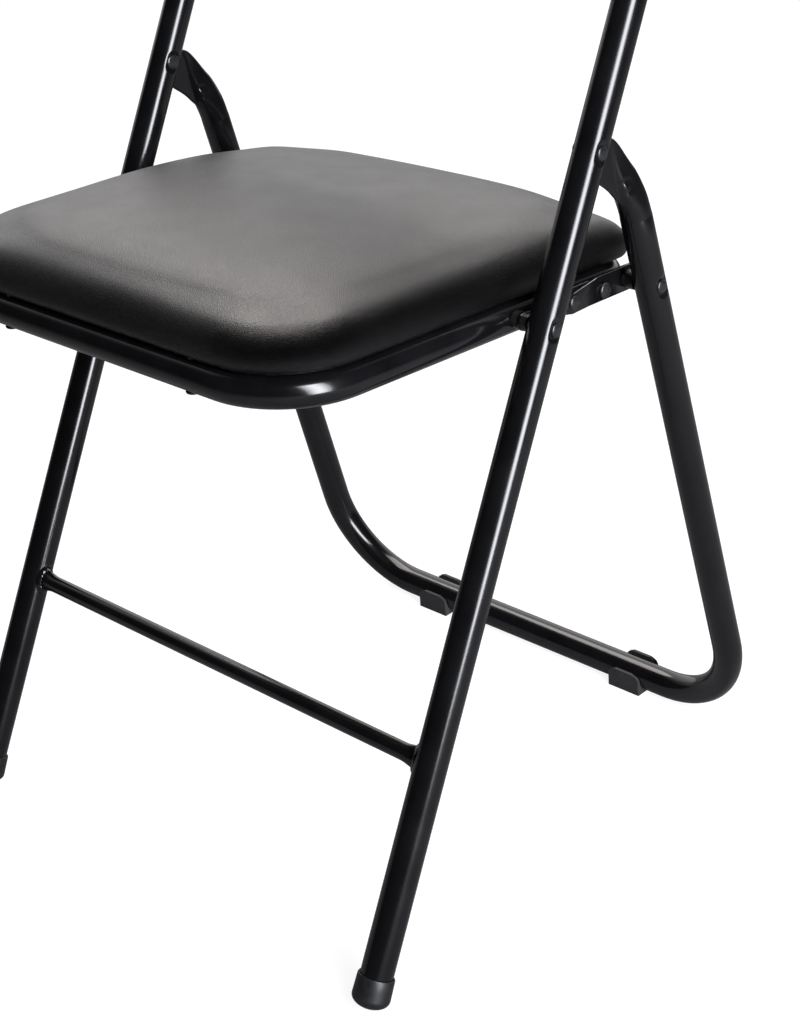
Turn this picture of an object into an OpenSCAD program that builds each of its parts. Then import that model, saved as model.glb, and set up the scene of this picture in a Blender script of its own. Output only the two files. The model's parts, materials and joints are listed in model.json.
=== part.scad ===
// Folding chair. A leaning tubular front frame carries the back, a rear frame hangs from it,
// and a padded seat swings up between them, held by a flat link on each side.
// Millimetres. +X is the sitter's left, +Y the rear, +Z up. The origin is on the floor,
// in the middle of the chair's box.

/* [Whole chair] */
// Height of the top of the chair above the floor
overall_h = 800; // [760:5:850]
// Distance between the centre lines of the two front uprights
frame_w = 430; // [390:5:470]
// Lean of the front frame behind the vertical, degrees
front_lean = 27.5; // [26:0.5:29]
// Lean of the rear legs ahead of the vertical, degrees
rear_lean = 13; // [11:0.5:15]

/* [Pivots] */
// Height of the pivot between the uprights and the seat
seat_pivot_h = 418; // [410:0.5:425]
// Height of the rear frame's hinge above the seat pivot
hinge_rise = 105.5; // [98:0.5:112]
// Drop from the seat pivot to the pivot between the rear legs and the links
link_drop = 8; // [5:0.5:11]
// Gap between the uprights and the seat's bracket plates
plate_gap = 5; // [4.5:0.1:7]
// Distance between the front and rear tube centre lines when the chair is folded
fold_gap = 29.8; // [28:0.2:34]
// Diameter of the pivot rivets
pivot_d = 8; // [6:0.5:9]
// Diameter of the rivet heads
head_d = 10; // [10:0.5:11.5]
// Height of the rivet heads
head_h = 2; // [1.5:0.1:2.4]
// Diameter of the dimples that the rivet heads sit in
dimple_d = 13; // [12:0.5:14]
// Depth of the dimples
dimple_deep = 1.6; // [1:0.1:2]
// Radial clearance of a turning rivet
run_gap = 0.05; // [0.02:0.01:0.1]
// Sideways play between pieces that turn on each other
side_play = 0.3; // [0.2:0.05:0.5]

/* [Front frame] */
// Diameter of the front tube
front_d = 23; // [21:0.5:24]
// Wall of the front tube
front_wall = 1.2; // [1:0.1:2]
// Centre line radius of the bends at the top of the front tube
bow_r = 65; // [50:1:80]
// Height of the crossbar between the front legs
crossbar_h = 152.3; // [120:1:200]
// Diameter of the crossbar
crossbar_d = 12.5; // [10:0.5:16]
// Wall of the crossbar
crossbar_wall = 1; // [0.8:0.1:2]
// Diameter of the foot caps
cap_d = 26.8; // [26:0.2:28]
// Length of the straight part of the foot caps
cap_len = 15.2; // [12:0.2:22]
// Height of the domed sole of the foot caps
cap_sole = 7.5; // [6:0.5:9]

/* [Rear frame] */
// Diameter of the rear tube
rear_d = 22.5; // [20:0.5:23]
// Wall of the rear tube
rear_wall = 1.2; // [1:0.1:2]
// Centre line radius of the bends at the floor
floor_bow_r = 75; // [60:1:90]
// Height of the floor bar's centre line
floor_bar_h = 12.4; // [12.2:0.1:16]
// Thickness of the leg's end, which is pressed into a flat blade
blade_t = 3.2; // [2.6:0.1:4]
// Radius of the blade's end round the hinge, inside the upright
blade_end_r = 8.8; // [7.6:0.1:9.2]
// Width of the blade where it leaves the upright
blade_mid_w = 30.5; // [30:0.5:33]
// Distance of that place behind the hinge, square to the leg
blade_mid_in = 10.3; // [10:0.1:12]
// Drop of that place below the hinge, along the leg
blade_mid_drop = 12.9; // [11:0.1:14]
// Width of the blade at its root
blade_root_w = 24.4; // [23:0.2:27]
// Distance of the blade's root ahead of the leg's centre line
blade_root_fore = 6.4; // [5:0.1:7]
// Drop of the blade's root below the hinge, along the leg
blade_root_drop = 34.4; // [32:0.2:37]
// Width of the pressed tube's shoulder where it runs out on the blade
shoulder_w = 12; // [8:1:14]
// Distance of that place ahead of the leg's centre line
shoulder_fore = 6.5; // [5:0.5:8]
// Drop of that place below the hinge, along the leg
shoulder_drop = 14; // [12:1:18]
// Drop from the hinge to where the rear leg is fully round, along the leg
neck_drop = 56; // [54:1:64]
// Half the distance between the two floor pads
pad_x = 107; // [80:1:120]
// Length of a floor pad along the bar
pad_len = 31; // [24:1:40]
// Wall of a floor pad
pad_wall = 2.5; // [2:0.1:4]
// Height of a floor pad's front tab above the bar's centre line
pad_front_up = 5; // [2:0.5:8]
// Height of a floor pad's back tab above the bar's centre line
pad_back_up = 9.5; // [6:0.5:12]

/* [Seat] */
// Diameter of the seat tube
seat_d = 22; // [20:0.5:23]
// Wall of the seat tube
seat_wall = 1.2; // [1:0.1:2]
// Distance from the seat pivot to the front seat tube, along the seat
seat_front = 201; // [190:0.5:213]
// Distance from the seat pivot to the rear seat tube, along the seat
seat_rear = 126.5; // [118:0.5:133]
// Centre line radius of the seat tube's front corners
seat_front_r = 58; // [50:1:66]
// Centre line radius of the seat tube's rear corners
seat_rear_r = 30; // [26:1:45]
// Fall of the seat towards the rear, degrees
seat_fall = 4; // [3:0.5:5]
// Height of the seat pivot over the seat tube's centre line
pivot_rise = 2; // [0:0.2:3]
// Thickness of the seat board
seat_board_t = 8; // [6:0.5:10]
// Inset of the seat board from the seat tube's outer edge
seat_board_inset = 5; // [4:0.5:6]
// Thickness of the seat cushion at its middle
cushion_t = 46; // [38:1:50]
// Thickness of the seat cushion at its rim
cushion_rim_t = 30; // [24:1:33]
// Inset of the seat cushion from the seat tube's outer edge
cushion_inset = 1.5; // [0.5:0.5:4]
// Diameter of the screws in the seat and the back
screw_d = 4.8; // [4:0.2:6]
// Half the distance between the two screws in each seat bar
seat_screw_x = 95; // [70:1:105]

/* [Back] */
// Height of the back panel along the uprights
back_h = 172; // [150:1:180]
// Gap between the back panel and the tube round it
back_gap = 2; // [1.5:0.1:5]
// Radius of the back panel's curve
back_curve_r = 1100; // [900:10:1500]
// Thickness of the back cushion
back_cushion_t = 22; // [16:1:28]
// Thickness of the back board
back_board_t = 9; // [9:0.5:12]
// Radius of the back panel's lower corners
back_corner_r = 34; // [20:1:45]
// Distance of the back screws from the panel's lower edge and from the start of the bends
back_screw_in = 28; // [20:1:36]
// Depth of the back screws in the edge of the back board
back_screw_depth = 18; // [12:1:20]

/* [Linkage] */
// Width of the links
link_w = 18.5; // [17:0.5:22]
// Thickness of the links
link_t = 3; // [2.5:0.1:4]
// Length of a link past the rear leg's pivot
link_tail = 14.5; // [12:0.5:16]
// Thickness of the seat bracket plates
plate_t = 3; // [2.5:0.1:4]
// Thickness of the washers beside the links
washer_t = 1; // [0.8:0.1:1.5]
// Diameter of the link rivets
link_rivet_d = 7; // [5:0.5:7.5]
// Radius of the bracket's eye round the seat pivot
eye_r = 6.5; // [6:0.1:8]
// Radius of the spacer bushes at the seat pivot
bush_r = 6.3; // [5.8:0.1:8]
// Drop of the bracket rivet below the seat pivot, square to the seat
bracket_drop = 0.8; // [0:0.1:1.5]
// Height of the bracket's arm above the seat pivot, square to the seat
arm_up = 6; // [5:0.5:6.5]
// Drop of the bracket's arm below the seat pivot, square to the seat
arm_down = 4; // [3:0.5:5]
// Radius of the bracket plate below the bracket rivet
nose_r = 7.5; // [7:0.1:9]
// Radius of the bracket's rear edge round the bracket rivet
bracket_r = 28; // [26:0.2:30]
// Height of the bracket's rear corner above the bracket rivet
bracket_up = 11.5; // [9:0.5:13]
// Drop of the bracket's rear corner below the bracket rivet
bracket_down = 6; // [4:0.5:7]
// Diameter of the stop pin's shank
stop_d = 8; // [6:0.5:9]
// Diameter of the stop pin's head
stop_head_d = 10.6; // [10:0.2:11.2]

/* [Hidden] */
$fn = 48;
hull_fn = 32;

black_steel = [0.05, 0.05, 0.06];
black_vinyl = [0.10, 0.10, 0.11];
black_rubber = [0.07, 0.07, 0.07];
raw_steel = [0.45, 0.45, 0.47];
plywood = [0.72, 0.58, 0.40];

// Sideways stack, from the uprights inwards
front_x = frame_w / 2;
frame_inner = front_x - front_d / 2;
rear_x = front_x;
rear_inner = rear_x - rear_d / 2;
blade_in = front_x - blade_t / 2;
plate_out = frame_inner - plate_gap;
plate_in = plate_out - plate_t;
link_out = plate_in - washer_t;
link_in = link_out - link_t;
seat_out = link_in - washer_t;
seat_x = seat_out - seat_d / 2;

hinge_h = seat_pivot_h + hinge_rise;
link_pivot_h = seat_pivot_h - link_drop;

// Side view: points are [y, z] before the whole chair is centred
function turn(v, a) = [v[0] * cos(a) - v[1] * sin(a), v[0] * sin(a) + v[1] * cos(a)];
function dot(a, b) = a[0] * b[0] + a[1] * b[1];
hinge_at = [hinge_h * tan(front_lean), hinge_h];
seat_at = [seat_pivot_h * tan(front_lean), seat_pivot_h];
rear_y0 = hinge_at[0] + hinge_h * tan(rear_lean) + fold_gap / cos(rear_lean);
link_at = [rear_y0 - link_pivot_h * tan(rear_lean), link_pivot_h];

// The chair is flat when the seat and the rear frame are parallel with the front frame
rear_swing = front_lean + rear_lean;
seat_swing = 90 - front_lean + seat_fall;
link_at_folded = hinge_at + turn(link_at - hinge_at, -rear_swing);

// The bracket rivet lies behind the seat pivot at the distance at which the link has one
// length with the chair open and with it folded
open_span = seat_at - link_at;
fold_span = turn(seat_at - link_at_folded, -seat_swing);
along_seat = [cos(seat_fall), -sin(seat_fall)];
across_seat = [sin(seat_fall), cos(seat_fall)];
span_change = open_span - fold_span;
half_gain = (dot(fold_span, fold_span) - dot(open_span, open_span)) / 2;
bracket_v = (half_gain + bracket_drop * dot(across_seat, span_change)) / dot(along_seat, span_change);
bracket_at = seat_at + bracket_v * along_seat - bracket_drop * across_seat;
link_len = norm(link_at - bracket_at);
link_angle = atan2(link_at[1] - bracket_at[1], link_at[0] - bracket_at[0]);

// Lengths along the leaning frames
hinge_s = hinge_h / cos(front_lean);
seat_pivot_s = seat_pivot_h / cos(front_lean);
crossbar_s = crossbar_h / cos(front_lean);
bow_s = (overall_h - front_d / 2) / cos(front_lean);
upright_end = bow_s - bow_r;
hinge_rear_s = (rear_y0 - hinge_at[0]) * sin(rear_lean) + hinge_h * cos(rear_lean);
link_rear_s = link_pivot_h / cos(rear_lean);
floor_bar_s = floor_bar_h / cos(rear_lean);
neck_s = hinge_rear_s - neck_drop;

// The slot in the back of an upright takes the blade with the chair open and folded
blade_mid_open = turn([blade_mid_in, -blade_mid_drop], rear_swing);
slot_rise = blade_mid_open[1] + blade_mid_w / 2 + side_play;
slot_drop = blade_root_drop + blade_root_w / 4;

// The sole of a foot cap touches the floor at one point of its dome
cap_low = norm([cap_sole * cos(front_lean), cap_d / 2 * sin(front_lean)]);
cap_s = cap_low / cos(front_lean) - cap_sole;
cap_front = norm([cap_sole * sin(front_lean), cap_d / 2 * cos(front_lean)]);
y_front = (cap_s + cap_sole) * sin(front_lean) - cap_front;
floor_bar_y = rear_y0 - floor_bar_h * tan(rear_lean);
y_rear = floor_bar_y + rear_d / 2 + pad_wall;
y_mid = (y_front + y_rear) / 2;

// Back panel
panel_half = frame_inner - back_gap;
panel_top = bow_s - front_d / 2 - back_gap;
panel_low = panel_top - back_h;
panel_top_r = max(bow_r - front_d / 2 - back_gap, 5);
// The board's middle layer crosses the tube's plane half-way along the screws in its edge
panel_cross = panel_half - back_screw_depth / 2;
panel_sag = back_curve_r - sqrt(pow(back_curve_r, 2) - pow(panel_cross, 2));
back_screw_s = [panel_low + back_screw_in, upright_end - back_screw_in / 2];

// Seat plane: heights are measured from the seat pivot
ring_len = seat_front + seat_rear;
board_z = seat_d / 2 - pivot_rise;
seat_screw_bite = 6;
// The cushion is widest on a band above its lower edge, and rounds over to its crown
cushion_skin = 1;
cushion_tuck = 2;
cushion_band = 6;
cushion_shoulder = 9;
cushion_crown_in = 62;
// Smallest radius of the corners of the seat's outline, reached near the cushion's crown
outline_r_min = 5;

// Rivets have a flat tail; the end of a link has rounded corners
rivet_tail_h = 1.6;
rivet_tail_d = 1.4 * pivot_d;
link_tail_d = 1.6 * link_rivet_d;
link_end_r = link_w / 3;
// The stop pin runs round the bracket's rear edge as the chair folds
stop_v = bracket_r + stop_d / 2 + side_play;

module centred() translate([0, -y_mid, 0]) children();
module in_front_plane() centred() rotate([-front_lean, 0, 0]) children();
module in_rear_plane() centred() translate([0, rear_y0, 0]) rotate([rear_lean, 0, 0]) children();
module in_seat_plane()
    centred() translate([0, seat_at[0], seat_at[1]]) rotate([-seat_fall, 0, 0]) children();
module on_link()
    centred() translate([0, bracket_at[0], bracket_at[1]]) rotate([link_angle, 0, 0]) children();

// One of a pair: the left side is +X
module side(left) mirror([left ? 0 : 1, 0, 0]) children();

// Cylinder along X from x0 to x1
module x_rod(x0, x1, d) translate([x0, 0, 0]) rotate([0, 90, 0]) cylinder(h = x1 - x0, d = d);

// Flat outline in the side view, extruded along X from x0 to x1
module x_plate(x0, x1) translate([x0, 0, 0]) rotate([90, 0, 90]) linear_extrude(x1 - x0) children();

// Straight tube along Z
module z_tube(z0, z1, d, wall) translate([0, 0, z0]) difference() {
    cylinder(h = z1 - z0, d = d);
    translate([0, 0, -1]) cylinder(h = z1 - z0 + 2, d = d - 2 * wall);
}

// Quarter bend in the XY plane: centre at the origin, from +X round to +Y
module bend(r, d, wall) rotate_extrude(angle = 90, $fn = 96) translate([r, 0]) difference() {
    circle(d = d);
    circle(d = d - 2 * wall);
}

// U of two bends and a bar in the XZ plane, legs at +-half_w, the bar r above them
module u_bow(half_w, r, d, wall) {
    for (left = [true, false])
        side(left) translate([half_w - r, 0, 0]) rotate([90, 0, 0]) bend(r, d, wall);
    translate([r - half_w, 0, r]) rotate([0, 90, 0]) z_tube(0, 2 * (half_w - r), d, wall);
}

// A dimple pressed into the outer side of a tube that stands along Z at x
module dimple_cup(x, s, d, wall) intersection() {
    translate([x, 0, s - dimple_d]) cylinder(h = 2 * dimple_d, d = d);
    translate([0, 0, s]) x_rod(x + d / 2 - dimple_deep - wall, x + d, dimple_d + 2 * wall);
}
module dimple_cut(x, s, d)
    translate([0, 0, s]) x_rod(x + d / 2 - dimple_deep, x + d, dimple_d);

// Rivet along X: shank from x0 to x1, with a domed head from x1 outwards
module rivet(x0, x1, d) {
    x_rod(x0, x1, d);
    translate([x1, 0, 0]) rivet_head(head_d, head_h);
}
module rivet_head(d, h) rotate([0, 90, 0]) rotate_extrude() polygon([
    [0, 0], [d / 2, 0], [d / 2, h * 0.3], [d * 0.45, h * 0.65], [d * 0.3, h * 0.92], [0, h],
]);

// Front frame -------------------------------------------------------------------------------
module front_upright(left) color(black_steel) in_front_plane() side(left) difference() {
    union() {
        translate([front_x, 0, 0]) z_tube(cap_s + cap_sole, upright_end, front_d, front_wall);
        for (s = concat([hinge_s, seat_pivot_s], back_screw_s))
            dimple_cup(front_x, s, front_d, front_wall);
        inner_face() dimple_cup(front_x, hinge_s, front_d, front_wall);
    }
    for (s = concat([hinge_s, seat_pivot_s], back_screw_s)) dimple_cut(front_x, s, front_d);
    inner_face() dimple_cut(front_x, hinge_s, front_d);
    translate([blade_in - side_play, 0, hinge_s - slot_drop])
        cube([blade_t + 2 * side_play, front_d, slot_rise + slot_drop]);
    for (s = [hinge_s, seat_pivot_s])
        translate([0, 0, s]) x_rod(frame_inner - 1, front_x + front_d, pivot_d);
    for (s = back_screw_s)
        translate([0, 0, s]) x_rod(frame_inner - 1, front_x + front_d, screw_d);
}

// Takes what is made for an upright's outer face to its inner face
module inner_face() translate([2 * front_x, 0, 0]) mirror([1, 0, 0]) children();

module front_top_bow() color(black_steel) in_front_plane()
    translate([0, 0, upright_end]) u_bow(front_x, bow_r, front_d, front_wall);

module front_crossbar() color(black_steel) in_front_plane() difference() {
    translate([-front_x, 0, crossbar_s]) rotate([0, 90, 0])
        z_tube(0, frame_w, crossbar_d, crossbar_wall);
    for (left = [true, false]) side(left) translate([front_x, 0, crossbar_s - crossbar_d])
        cylinder(h = 2 * crossbar_d, d = front_d);
}

// The sole is a dome: its outline is a quarter ellipse in four steps
module foot_cap(left) color(black_rubber) in_front_plane() side(left)
    translate([front_x, 0, cap_s]) rotate_extrude() polygon(concat(
        [[0, 0]],
        [for (a = [75:-15:0]) [cap_d / 2 * cos(a), cap_sole * (1 - sin(a))]],
        [[cap_d / 2, cap_sole + cap_len], [front_d / 2, cap_sole + cap_len]],
        [[front_d / 2, cap_sole], [0, cap_sole]]
    ));

// Outline of the back panel in the plane of the uprights, extruded through the panel
module panel_prism() rotate([90, 0, 0]) translate([0, 0, -front_x]) linear_extrude(frame_w) {
    for (left = [true, false]) side(left) {
        translate([panel_half - panel_top_r, panel_top - panel_top_r]) circle(r = panel_top_r);
        translate([panel_half - back_corner_r, panel_low + back_corner_r]) circle(r = back_corner_r);
        translate([0, panel_low + back_corner_r])
            square([panel_half, back_h - back_corner_r - panel_top_r]);
        translate([0, panel_low]) square([panel_half - back_corner_r, back_corner_r]);
        translate([0, panel_top - panel_top_r]) square([panel_half - panel_top_r, panel_top_r]);
    }
}

// Part of a wide upright cylinder that the panel is bent to, from t0 to t1 outside its radius
module panel_curve(t0, t1) intersection() {
    translate([0, panel_sag - back_curve_r, panel_low - 1]) rotate([0, 0, 70])
        rotate_extrude(angle = 40, $fn = 720) translate([back_curve_r + t0, 0])
            square([t1 - t0, back_h + 2]);
    panel_prism();
}

module back_board() color(black_vinyl) in_front_plane() difference() {
    panel_curve(-back_board_t / 2, back_board_t / 2);
    for (left = [true, false]) side(left) for (s = back_screw_s)
        translate([0, 0, s]) x_rod(panel_half - back_screw_depth, frame_inner, screw_d);
}

module back_cushion() color(black_vinyl) in_front_plane()
    panel_curve(-back_board_t / 2 - back_cushion_t, -back_board_t / 2);

module back_screws() color(raw_steel) in_front_plane()
    for (left = [true, false]) side(left) for (s = back_screw_s)
        translate([0, 0, s])
            rivet(panel_half - back_screw_depth, front_x + front_d / 2 - dimple_deep, screw_d);

module hinge_rivet(left) color(raw_steel) in_front_plane() side(left) translate([0, 0, hinge_s]) {
    rivet(frame_inner + dimple_deep, front_x + front_d / 2 - dimple_deep, pivot_d);
    x_rod(frame_inner, frame_inner + dimple_deep, rivet_tail_d);
}

module seat_pivot_rivet(left) color(raw_steel) in_front_plane() side(left)
    translate([0, 0, seat_pivot_s]) {
        rivet(seat_out - seat_d - side_play, front_x + front_d / 2 - dimple_deep, pivot_d);
        x_rod(seat_out - seat_d - side_play - rivet_tail_h, seat_out - seat_d - side_play,
            rivet_tail_d);
    }

module pivot_spacer(left) color(raw_steel) in_front_plane() side(left)
    translate([0, 0, seat_pivot_s]) difference() {
        x_rod(plate_out + side_play, frame_inner, 2 * bush_r);
        x_rod(plate_out, front_x, pivot_d);
    }

// Rear frame --------------------------------------------------------------------------------
module rear_leg(left) color(black_steel) in_rear_plane() side(left) difference() {
    union() {
        translate([rear_x, 0, 0]) z_tube(floor_bar_s + floor_bow_r, neck_s, rear_d, rear_wall);
        dimple_cup(rear_x, link_rear_s, rear_d, rear_wall);
    }
    dimple_cut(rear_x, link_rear_s, rear_d);
    translate([0, 0, link_rear_s]) x_rod(rear_inner - 1, rear_x + rear_d, link_rivet_d);
}

module rear_floor_bow() color(black_steel) in_rear_plane()
    translate([0, 0, floor_bar_s + floor_bow_r]) rotate([0, 180, 0])
        u_bow(rear_x, floor_bow_r, rear_d, rear_wall);

// The end of the leg is pressed into a flat blade that enters the slot in the upright, and the
// tube's shoulder runs out over it
module rear_blade(left) color(black_steel) in_rear_plane() side(left) difference() {
    union() {
        hull() {
            blade_disc(-fold_gap, 0, 2 * blade_end_r);
            blade_disc(blade_mid_in - fold_gap, blade_mid_drop, blade_mid_w);
            blade_disc(-blade_root_fore, blade_root_drop, blade_root_w);
        }
        hull() {
            blade_disc(-shoulder_fore, shoulder_drop, shoulder_w);
            translate([rear_x, 0, neck_s]) cylinder(h = 1, d = rear_d, $fn = hull_fn);
        }
    }
    translate([0, -fold_gap, hinge_rear_s])
        x_rod(blade_in - 1, rear_x + blade_t, pivot_d + 2 * run_gap);
}
// Disc of the blade's thickness, y behind the leg's centre line and a drop below the hinge
module blade_disc(y, drop, w) translate([blade_in, y, hinge_rear_s - drop]) rotate([0, 90, 0])
    cylinder(h = blade_t, d = w, $fn = hull_fn);

// Saddle clipped over the floor bar: a round cradle with a flat sole and two upright tabs
module floor_pad(left) color(black_rubber) centred() side(left)
    translate([pad_x - pad_len / 2, floor_bar_y, floor_bar_h]) x_plate(0, pad_len) difference() {
        union() {
            translate([-rear_d / 2 - pad_wall, -floor_bar_h])
                square([rear_d + 2 * pad_wall, floor_bar_h]);
            translate([-rear_d / 2 - pad_wall, 0]) square([pad_wall, pad_front_up]);
            translate([rear_d / 2, 0]) square([pad_wall, pad_back_up]);
        }
        circle(d = rear_d);
    }

module link_rivet(left) color(raw_steel) centred() side(left)
    translate([0, link_at[0], link_at[1]]) {
        rivet(link_out + side_play, rear_x + rear_d / 2 - dimple_deep, link_rivet_d);
        x_rod(link_out + side_play, rear_inner, 2 * link_rivet_d);
    }

// Seat --------------------------------------------------------------------------------------
// Origin of the seat plane is the seat pivot: +Y runs to the rear along the seat
module at_ring() translate([0, 0, -pivot_rise]) children();

module seat_ring() color(black_steel) in_seat_plane() difference() {
    at_ring() {
        for (left = [true, false]) side(left) {
            translate([seat_x - seat_rear_r, seat_rear - seat_rear_r, 0])
                bend(seat_rear_r, seat_d, seat_wall);
            translate([seat_x - seat_front_r, seat_front_r - seat_front, 0])
                rotate([0, 0, -90]) bend(seat_front_r, seat_d, seat_wall);
            translate([seat_x, seat_front_r - seat_front, 0]) rotate([-90, 0, 0])
                z_tube(0, ring_len - seat_front_r - seat_rear_r, seat_d, seat_wall);
        }
        for (bar = [[-seat_front, seat_front_r], [seat_rear, seat_rear_r]])
            translate([bar[1] - seat_x, bar[0], 0]) rotate([0, 90, 0])
                z_tube(0, 2 * (seat_x - bar[1]), seat_d, seat_wall);
    }
    for (left = [true, false]) side(left) {
        x_rod(seat_x - seat_d, seat_out + 1, pivot_d + 2 * run_gap);
        at_bracket_rivet() x_rod(seat_x - seat_d, seat_out + 1, link_rivet_d);
        for (y = [-seat_front, seat_rear])
            translate([seat_screw_x, y, -seat_d - pivot_rise]) cylinder(h = 2 * seat_d, d = screw_d);
    }
}

// Rounded rectangle as large as the seat ring's outside, less an inset
module seat_outline(inset) {
    half = seat_out - inset;
    front_r = max(seat_front_r + seat_d / 2 - inset, outline_r_min);
    rear_r = max(seat_rear_r + seat_d / 2 - inset, outline_r_min);
    front = seat_front + seat_d / 2 - inset;
    rear = seat_rear + seat_d / 2 - inset;
    for (left = [true, false]) side(left) {
        translate([half - rear_r, rear - rear_r]) circle(r = rear_r);
        translate([half - front_r, front_r - front]) circle(r = front_r);
        translate([0, front_r - front]) square([half, front + rear - front_r - rear_r]);
        translate([0, -front]) square([half - front_r, front_r]);
        translate([0, rear - rear_r]) square([half - rear_r, rear_r]);
    }
}

module seat_board() color(plywood) in_seat_plane() difference() {
    translate([0, 0, board_z]) linear_extrude(seat_board_t) seat_outline(seat_board_inset);
    for (left = [true, false]) side(left) for (y = [-seat_front, seat_rear])
        translate([seat_screw_x, y, board_z - 1]) cylinder(h = seat_screw_bite + 1, d = screw_d);
}

// Upholstery over the board: widest above its lower edge and crowned towards the middle
module seat_cushion() color(black_vinyl) in_seat_plane() difference() {
    translate([0, 0, board_z + side_play]) hull() {
        cushion_layer(0, cushion_skin, cushion_inset + cushion_tuck);
        cushion_layer(cushion_band, cushion_rim_t - cushion_shoulder, cushion_inset);
        cushion_layer(cushion_rim_t, cushion_rim_t + cushion_skin, cushion_inset + cushion_shoulder);
        cushion_layer(cushion_t - cushion_skin, cushion_t, cushion_inset + cushion_crown_in);
    }
    translate([0, 0, board_z - 1]) linear_extrude(seat_board_t + 1) seat_outline(seat_board_inset);
}
module cushion_layer(z0, z1, inset)
    translate([0, 0, z0]) linear_extrude(z1 - z0, $fn = hull_fn) seat_outline(inset);

module seat_screws() color(raw_steel) in_seat_plane()
    for (left = [true, false]) side(left) for (y = [-seat_front, seat_rear])
        translate([seat_screw_x, y, board_z + seat_screw_bite]) rotate([0, 90, 0])
            rivet(0, seat_screw_bite + seat_d, screw_d);

// Bracket plate: an eye round the seat pivot, a straight arm, a nose round the bracket rivet and
// a lobe whose rear edge is an arc round that rivet so that the stop pin clears it
module seat_bracket(left) color(black_steel) in_seat_plane() side(left) difference() {
    x_plate(plate_in, plate_out) {
        circle(r = eye_r);
        translate([0, -arm_down]) square([bracket_v, arm_down + arm_up]);
        translate([bracket_v, -bracket_drop]) {
            circle(r = nose_r);
            intersection() {
                circle(r = bracket_r);
                polygon([
                    [0, -nose_r], [bracket_r, -bracket_down],
                    [bracket_r, bracket_up], [0, arm_up + bracket_drop],
                ]);
            }
        }
    }
    x_rod(plate_in - 1, plate_out + 1, pivot_d + 2 * run_gap);
    at_bracket_rivet() x_rod(plate_in - 1, plate_out + 1, link_rivet_d);
}
module at_bracket_rivet() translate([0, bracket_v, -bracket_drop]) children();

module bracket_bush(left) color(raw_steel) in_seat_plane() side(left) difference() {
    x_rod(seat_out, plate_in, 2 * bush_r);
    x_rod(seat_out - 1, plate_in + 1, pivot_d + 2 * run_gap);
}

module bracket_rivet(left) color(raw_steel) in_seat_plane() side(left) at_bracket_rivet() {
    rivet(seat_out - seat_d, plate_out, link_rivet_d);
    x_rod(seat_out - seat_d - rivet_tail_h, seat_out - seat_d, 1.4 * link_rivet_d);
}

module link_washers(left) color(raw_steel) in_seat_plane() side(left) at_bracket_rivet()
    for (x = [seat_out, link_out]) difference() {
        x_rod(x, x + washer_t - side_play / 2, 2 * link_rivet_d);
        x_rod(x - 1, x + washer_t + 1, link_rivet_d);
    }

// Links -------------------------------------------------------------------------------------
// Origin is the bracket rivet: +Y runs along the link to the rear leg
module link(left) color(black_steel) on_link() side(left) difference() {
    x_plate(link_in, link_out) {
        circle(d = link_w);
        translate([0, -link_w / 2]) square([link_len + link_tail - link_end_r, link_w]);
        translate([0, link_end_r - link_w / 2])
            square([link_len + link_tail, link_w - 2 * link_end_r]);
        for (z = [link_end_r - link_w / 2, link_w / 2 - link_end_r])
            translate([link_len + link_tail - link_end_r, z]) circle(r = link_end_r);
    }
    x_rod(link_in - 1, link_out + 1, link_rivet_d + 2 * run_gap);
    translate([0, link_len, 0]) x_rod(link_in - 1, link_out + 1, link_rivet_d);
    translate([0, stop_v, 0]) x_rod(link_in - 1, link_out + 1, stop_d / 2);
}

module stop_pin(left) color(raw_steel) on_link() side(left) translate([0, stop_v, 0]) {
    x_rod(link_in, link_out, stop_d / 2);
    x_rod(link_out, plate_out + side_play, stop_d);
    translate([plate_out + side_play, 0, 0]) rivet_head(stop_head_d, head_h);
}

module link_tail_rivet(left) color(raw_steel) on_link() side(left) translate([0, link_len, 0]) {
    x_rod(link_in, link_out, link_rivet_d);
    x_rod(link_in - rivet_tail_h, link_in, link_tail_d);
}

front_upright(true);  // left_front_upright
front_upright(false);  // right_front_upright
front_top_bow();
front_crossbar();
foot_cap(true);  // left_foot_cap
foot_cap(false);  // right_foot_cap
back_board();
back_cushion();
back_screws();
hinge_rivet(true);  // left_hinge_rivet
hinge_rivet(false);  // right_hinge_rivet
seat_pivot_rivet(true);  // left_seat_pivot_rivet
seat_pivot_rivet(false);  // right_seat_pivot_rivet
pivot_spacer(true);  // left_pivot_spacer
pivot_spacer(false);  // right_pivot_spacer
rear_leg(true);  // left_rear_leg
rear_leg(false);  // right_rear_leg
rear_floor_bow();
rear_blade(true);  // left_rear_blade
rear_blade(false);  // right_rear_blade
floor_pad(true);  // left_floor_pad
floor_pad(false);  // right_floor_pad
link_rivet(true);  // left_link_rivet
link_rivet(false);  // right_link_rivet
seat_ring();
seat_board();
seat_cushion();
seat_screws();
seat_bracket(true);  // left_seat_bracket
seat_bracket(false);  // right_seat_bracket
bracket_bush(true);  // left_bracket_bush
bracket_bush(false);  // right_bracket_bush
bracket_rivet(true);  // left_bracket_rivet
bracket_rivet(false);  // right_bracket_rivet
link_washers(true);  // left_link_washers
link_washers(false);  // right_link_washers
link(true);  // left_link
link(false);  // right_link
stop_pin(true);  // left_stop_pin
stop_pin(false);  // right_stop_pin
link_tail_rivet(true);  // left_link_tail
link_tail_rivet(false);  // right_link_tail
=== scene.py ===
"""Folding chair: a leaning tubular front frame, a hinged rear frame and a seat that folds up.

Lengths are metres. +X is the sitter's left, +Y the rear, +Z up. Every piece is modelled in the
flat plane of the frame that carries it and then leaned into place with that frame.
"""

import json
import logging
import math
from collections.abc import Callable, Iterable, Sequence
from dataclasses import dataclass, field
from enum import Enum

import bmesh
import bpy
from bmesh.types import BMEdge, BMesh, BMVert
from bpy.types import Material, Mesh, Node, NodeSocket, NodeTree, Object
from mathutils import Matrix, Vector

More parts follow.
